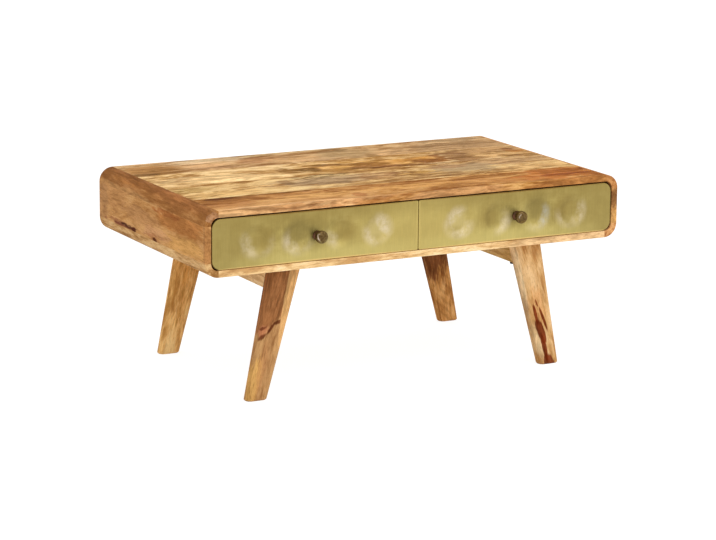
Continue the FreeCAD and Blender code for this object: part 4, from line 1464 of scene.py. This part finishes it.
        # each row feeds one spot or one arc: dark spots are painted shade, pale spots painted reflection, and
        # every arc a painted highlight
        if self.side == "left":
            dimple_shade_and_reflection = [
                (0, 12, 2, 24, olive, 0.45), (1, -1, 13, 24, deep, 0.42), (2, 14, 8, 20, olive, 0.6),
                (3, 0, -2, 17, pale_reflection, 0.3), (0, -2, -22, 11, lower_shade, 0.7), (1, 4, -22, 10, lower_shade, 0.4),
                (3, 0, -22, 10, lower_shade, 0.5),
            ]
            painted_highlights = [
                (0, 208, 55, 0.5, 25, 18), (0, 325, 35, 0.3, 30, 12), (1, 222, 45, 0.65, 25, 18),
                (1, 180, 25, 0.3, 24, 12), (1, 310, 30, 0.3, 29, 13), (2, 215, 40, 0.55, 20, 20),
                (3, 35, 62, 0.8, 17, 22), (3, 215, 40, 0.75, 25, 15), (3, 120, 40, 0.25, 18, 14),
                (3, 310, 60, 0.2),
            ]
        else:
            dimple_shade_and_reflection = [
                (0, 0, 0, 18, pale_reflection, 0.3), (1, -16, 4, 20, olive, 0.5), (2, 4, 12, 26, deep, 0.5),
                (3, -12, 6, 25, olive, 0.5), (0, -3, -22, 11, lower_shade, 0.6), (2, 14, -16, 12, lower_shade, 0.5),
                (3, 0, -22, 11, lower_shade, 0.75),
            ]
            painted_highlights = [
                (0, 130, 75, 0.7, 18, 18), (0, 225, 40, 0.5, 28, 14), (0, 308, 34, 0.9, 27, 15),
                (1, 318, 46, 0.6, 28, 14), (1, 355, 35, 0.2, 22, 16), (2, 280, 45, 0.3, 29, 14),
                (2, 345, 50, 0.5, 25, 12, cool), (3, 335, 55, 0.5, 27, 15), (3, 222, 35, 0.45, 31, 12),
            ]
        tones = (156, 138, 79), (172, 154, 90), (187, 169, 104)
        patches = (*painted_light_and_shade, *(self.spot(*row) for row in dimple_shade_and_reflection))
        return PressedBrass(tones, 5.0 + sign, patches, tuple(self.painted_highlight(*row) for row in painted_highlights))

    def knob_finish(self) -> WornMetal:
        """The dark bronze of the knob, darker down its neck by painted shade, with a painted reflection on
        its foot, and on its head a painted highlight and a painted reflection of the brass.

        Returns:
            The knob's finish.
        """
        x, y, z = self.sign * self.middle_x, self.face_y, self.middle_z
        # Painted shade down the neck and foot, and a painted reflection on the left of the foot.
        neck_shade = Patch((x, y - 3, z), (60, 13, 60), (66, 42, 24), 0.92, 0.1, 0.1)
        foot = Patch((x - 9, y - 2, z - 2), (5, 6, 6), (112, 74, 58), 0.6, 0.2, 0.4)
        # For each side a painted highlight on the head, then a painted reflection of the brass low on the
        # head.
        painted_highlights = {
            "left": ((180, 42, 9.4, 1.9, (226, 206, 184), 0.9), (290, 60, 9.5, 3, (146, 132, 84), 0.7)),
            "right": ((150, 22, 7.2, 2.2, (232, 214, 190), 0.9), (330, 80, 9.5, 3, (132, 104, 50), 0.7)),
        }[self.side]
        marks = (*(PaintedHighlight((x, y, z), *row) for row in painted_highlights), neck_shade, foot)
        return WornMetal((116, 94, 58), (84, 64, 36), 0.34, marks=marks)

    def finishes(self) -> dict[str, Finish]:
        """The finishes of the pieces that keep the part's own shape.

        Returns:
            Each piece's finish by its node.
        """
        name, sign, across = f"{self.side}_drawer", self.sign, Grain.FRONT_TO_BACK
        tones = (168, 124, 76), (206, 162, 110), (230, 190, 138)
        panel = (186, 146, 96), (218, 180, 128), (236, 204, 156)
        sides = {
            f"{name}_side_{place}": Wood(
                tones, across, (sign * x, 0, 320), seed=seed + sign, figure=0.6, vein=0.3
            )
            for place, x, seed in (("outer", 380, 53.0), ("inner", 60, 56.0))
        }
        return sides | {
            f"{name}_front": Wood(tones, pith=(0, -200, 300), seed=51.0 + sign, figure=0.6),
            f"{name}_back": Wood(tones, pith=(0, 180, 320), seed=59.0 + sign, figure=0.6),
            f"{name}_bottom": Wood(
                panel, across, (sign * 200, 0, 200), (1.0, 3.0), 20, 40, seed=62.0 + sign, figure=0.45,
                vein=0.25,
            ),
            f"{name}_knob_screw": WornMetal((190, 188, 184), (150, 148, 144), 0.3),
        }

    def build(self, effects: Effects, press: Tree) -> None:
        """Builds the pan and the knob, and dresses the rest of the drawer.

        Args:
            effects: The shared node groups.
            press: The tree that presses the dimples.
        """
        name, first = f"{self.side}_drawer", self.dimple(0)
        mesh = run_tree(self.pan_skin(), press, {
            "First X": first[0] * MM, "Middle Z": first[2] * MM, "Pitch": self.dimple_pitch * MM,
            "Count": self.dimple_count, "Floor Radius": self.dimple_floor * MM,
            "Radius": self.dimple_radius * MM, "Depth": self.dimple_depth * MM,
            "Waviness": self.waviness * MM, "Seed": 3.0 + self.sign,
            "Material": self.pan_finish().make(f"{name}_pan", effects),
        })
        pan = new_piece(f"{name}_pan", mesh, name, f"{name}_brass")
        wall = pan.modifiers.new("sheet", "SOLIDIFY")
        wall.thickness, wall.offset, wall.use_even_offset = self.sheet * MM, -1.0, True
        foot = mm(self.sign * self.middle_x, self.face_y, self.middle_z)
        knob = lathe(f"{name}_pull", foot, self.knob_outline())
        knob.materials.append(self.knob_finish().make(f"{name}_pull", effects))
        new_piece(f"{name}_pull", knob, name, f"{name}_knob")
        dress(self.finishes(), effects)


def dimple_press() -> Tree:
    """Presses a row of flat-floored dimples into a sheet that faces the front.

    Returns:
        The Geometry Nodes tree.
    """
    net = Group(
        "press_dimples",
        {
            "Geometry": "Geometry", "First X": 0.0, "Middle Z": 0.0, "Pitch": 0.1, "Count": 1,
            "Floor Radius": 0.01, "Radius": 0.03, "Depth": 0.005, "Waviness": 0.0, "Seed": 0.0,
            "Material": "Material",
        },
        ("Geometry",),
    )
    given, place = net.given, net.add("GeometryNodeInputPosition")
    parts = net.add("ShaderNodeSeparateXYZ", {0: place})
    number = net.math("ROUND", (parts["X"] - given["First X"]) / given["Pitch"])
    number = net.math("MINIMUM", net.math("MAXIMUM", number, 0.0), given["Count"] - 1.0)
    across = parts["X"] - (number * given["Pitch"] + given["First X"])
    up = parts["Z"] - given["Middle Z"]
    away = net.math("SQRT", across * across + up * up)
    wave = net.noise(place + given["Seed"] * (1.3, 2.1, 3.7), 38, 1) - 0.5
    reach = given["Radius"] - (away + wave * (given["Waviness"] * 2.0))
    share = net.math("DIVIDE", reach, given["Radius"] - given["Floor Radius"], clamp=True)
    bend, rest = 0.5, 1.0 - share
    rim = share * share / bend
    floor = 1.0 - rest * rest / (1.0 - bend)
    shape = net.math("GREATER_THAN", share, bend) * (floor - rim) + rim
    push = net.add("ShaderNodeCombineXYZ", {1: shape * given["Depth"]})
    moved = {"Geometry": given["Geometry"], "Offset": push}
    return net.close_solid(net.add("GeometryNodeSetPosition", moved))


@dataclass
class Studio:
    """The pale floor, the soft light and the camera of the photograph."""

    floor_half: float = 40.0
    position: Point = (-2.58415, -4.86307, 1.41025)
    rightward: Point = (0.88426283, -0.46690796, 0.00872915)
    upward: Point = (0.0940711, 0.19640535, 0.97599978)
    forward: Point = (0.45741652, 0.86221917, -0.21759649)
    lens: float = 142.19
    sensor: float = 36.0
    far: float = 200.0
    world_level: float = 0.97
    floor_paint: float = 0.85
    seen_paint: float = 0.28
    seen_glow: float = 0.86
    lamps: dict[str, tuple[Point, Point, float, float]] = field(default_factory=lambda: {
        "key": ((0.9, -3.6, 2.6), (0.0, 0.0, 0.3), 4.0, 60.0),
        "top": ((-0.6, 0.6, 3.6), (0.0, 0.0, 0.3), 3.0, 8.0),
    })

    def seen(self, net: Net) -> Wire:
        """Tells the rays that show the floor or the sky from those that light the table.

        Args:
            net: The net of a material or of the sky.

        Returns:
            One for rays from the camera, a mirror or glass, and nothing for the rest.
        """
        path = net.add("ShaderNodeLightPath")
        first = net.math("MAXIMUM", path["Is Camera Ray"], path["Is Glossy Ray"])
        return net.math("MAXIMUM", first, path["Is Transmission Ray"])

    def floor(self) -> None:
        """Lays the floor, white where it is not in the table's shadow."""
        half = self.floor_half
        mesh = bpy.data.meshes.new("floor")
        corners = [(x * half, y * half, 0.0) for x, y in ((-1, -1), (1, -1), (1, 1), (-1, 1))]
        mesh.from_pydata(corners, [], [(0, 1, 2, 3)])
        material, net = new_material("floor")
        seen = self.seen(net)
        level = net.remap(seen, 0.0, 1.0, self.floor_paint, self.seen_paint)
        paint = net.add("ShaderNodeBsdfDiffuse", {"Color": level})
        glow = net.add("ShaderNodeEmission", {"Color": WHITE, "Strength": seen * self.seen_glow})
        both = net.add("ShaderNodeAddShader", {0: paint, 1: glow})
        net.add("ShaderNodeOutputMaterial", {"Surface": both})
        mesh.materials.append(material)
        new_object("floor", mesh)

    def light(self) -> None:
        """Sets up the sky and the soft lamps."""
        world = bpy.data.worlds.new("studio")
        world.use_nodes = True
        world.node_tree.nodes.clear()
        net = Net(world.node_tree)
        level = net.remap(self.seen(net), 0.0, 1.0, self.world_level, 1.0)
        sky = net.add("ShaderNodeBackground", {"Color": WHITE, "Strength": level})
        net.add("ShaderNodeOutputWorld", {"Surface": sky})
        bpy.context.scene.world = world
        for name, (place, target, size, power) in self.lamps.items():
            data = bpy.data.lights.new(name, "AREA")
            data.shape, data.size, data.energy = "SQUARE", size, power
            lamp = new_object(name, data)
            lamp.location = place
            lamp.rotation_euler = (Vector(target) - Vector(place)).to_track_quat("-Z", "Y").to_euler()

    def camera(self) -> None:
        """Puts the camera where the photograph was taken from."""
        data = bpy.data.cameras.new("photograph")
        data.lens, data.sensor_width, data.clip_end = self.lens, self.sensor, self.far
        camera = new_object("photograph", data)
        axes = [Vector(self.rightward), Vector(self.upward), -Vector(self.forward)]
        turn = Matrix([list(axis) for axis in axes]).transposed().to_4x4()
        camera.matrix_world = Matrix.Translation(self.position) @ turn
        bpy.context.scene.camera = camera

    def build(self) -> None:
        """Sets the stage."""
        self.camera()
        self.floor()
        self.light()
        bpy.context.scene.view_settings.view_transform = "Standard"
        LOG.info("set the stage")


def main() -> None:
    """Builds and dresses the table."""
    Studio().build()
    effects = Effects()
    Tube().build(effects)
    LegFrames().build(effects)
    RailBolts().build(effects)
    press = dimple_press()
    for side in SIDES:
        Drawer(side).build(effects, press)


if __name__ == "__main__":
    main()
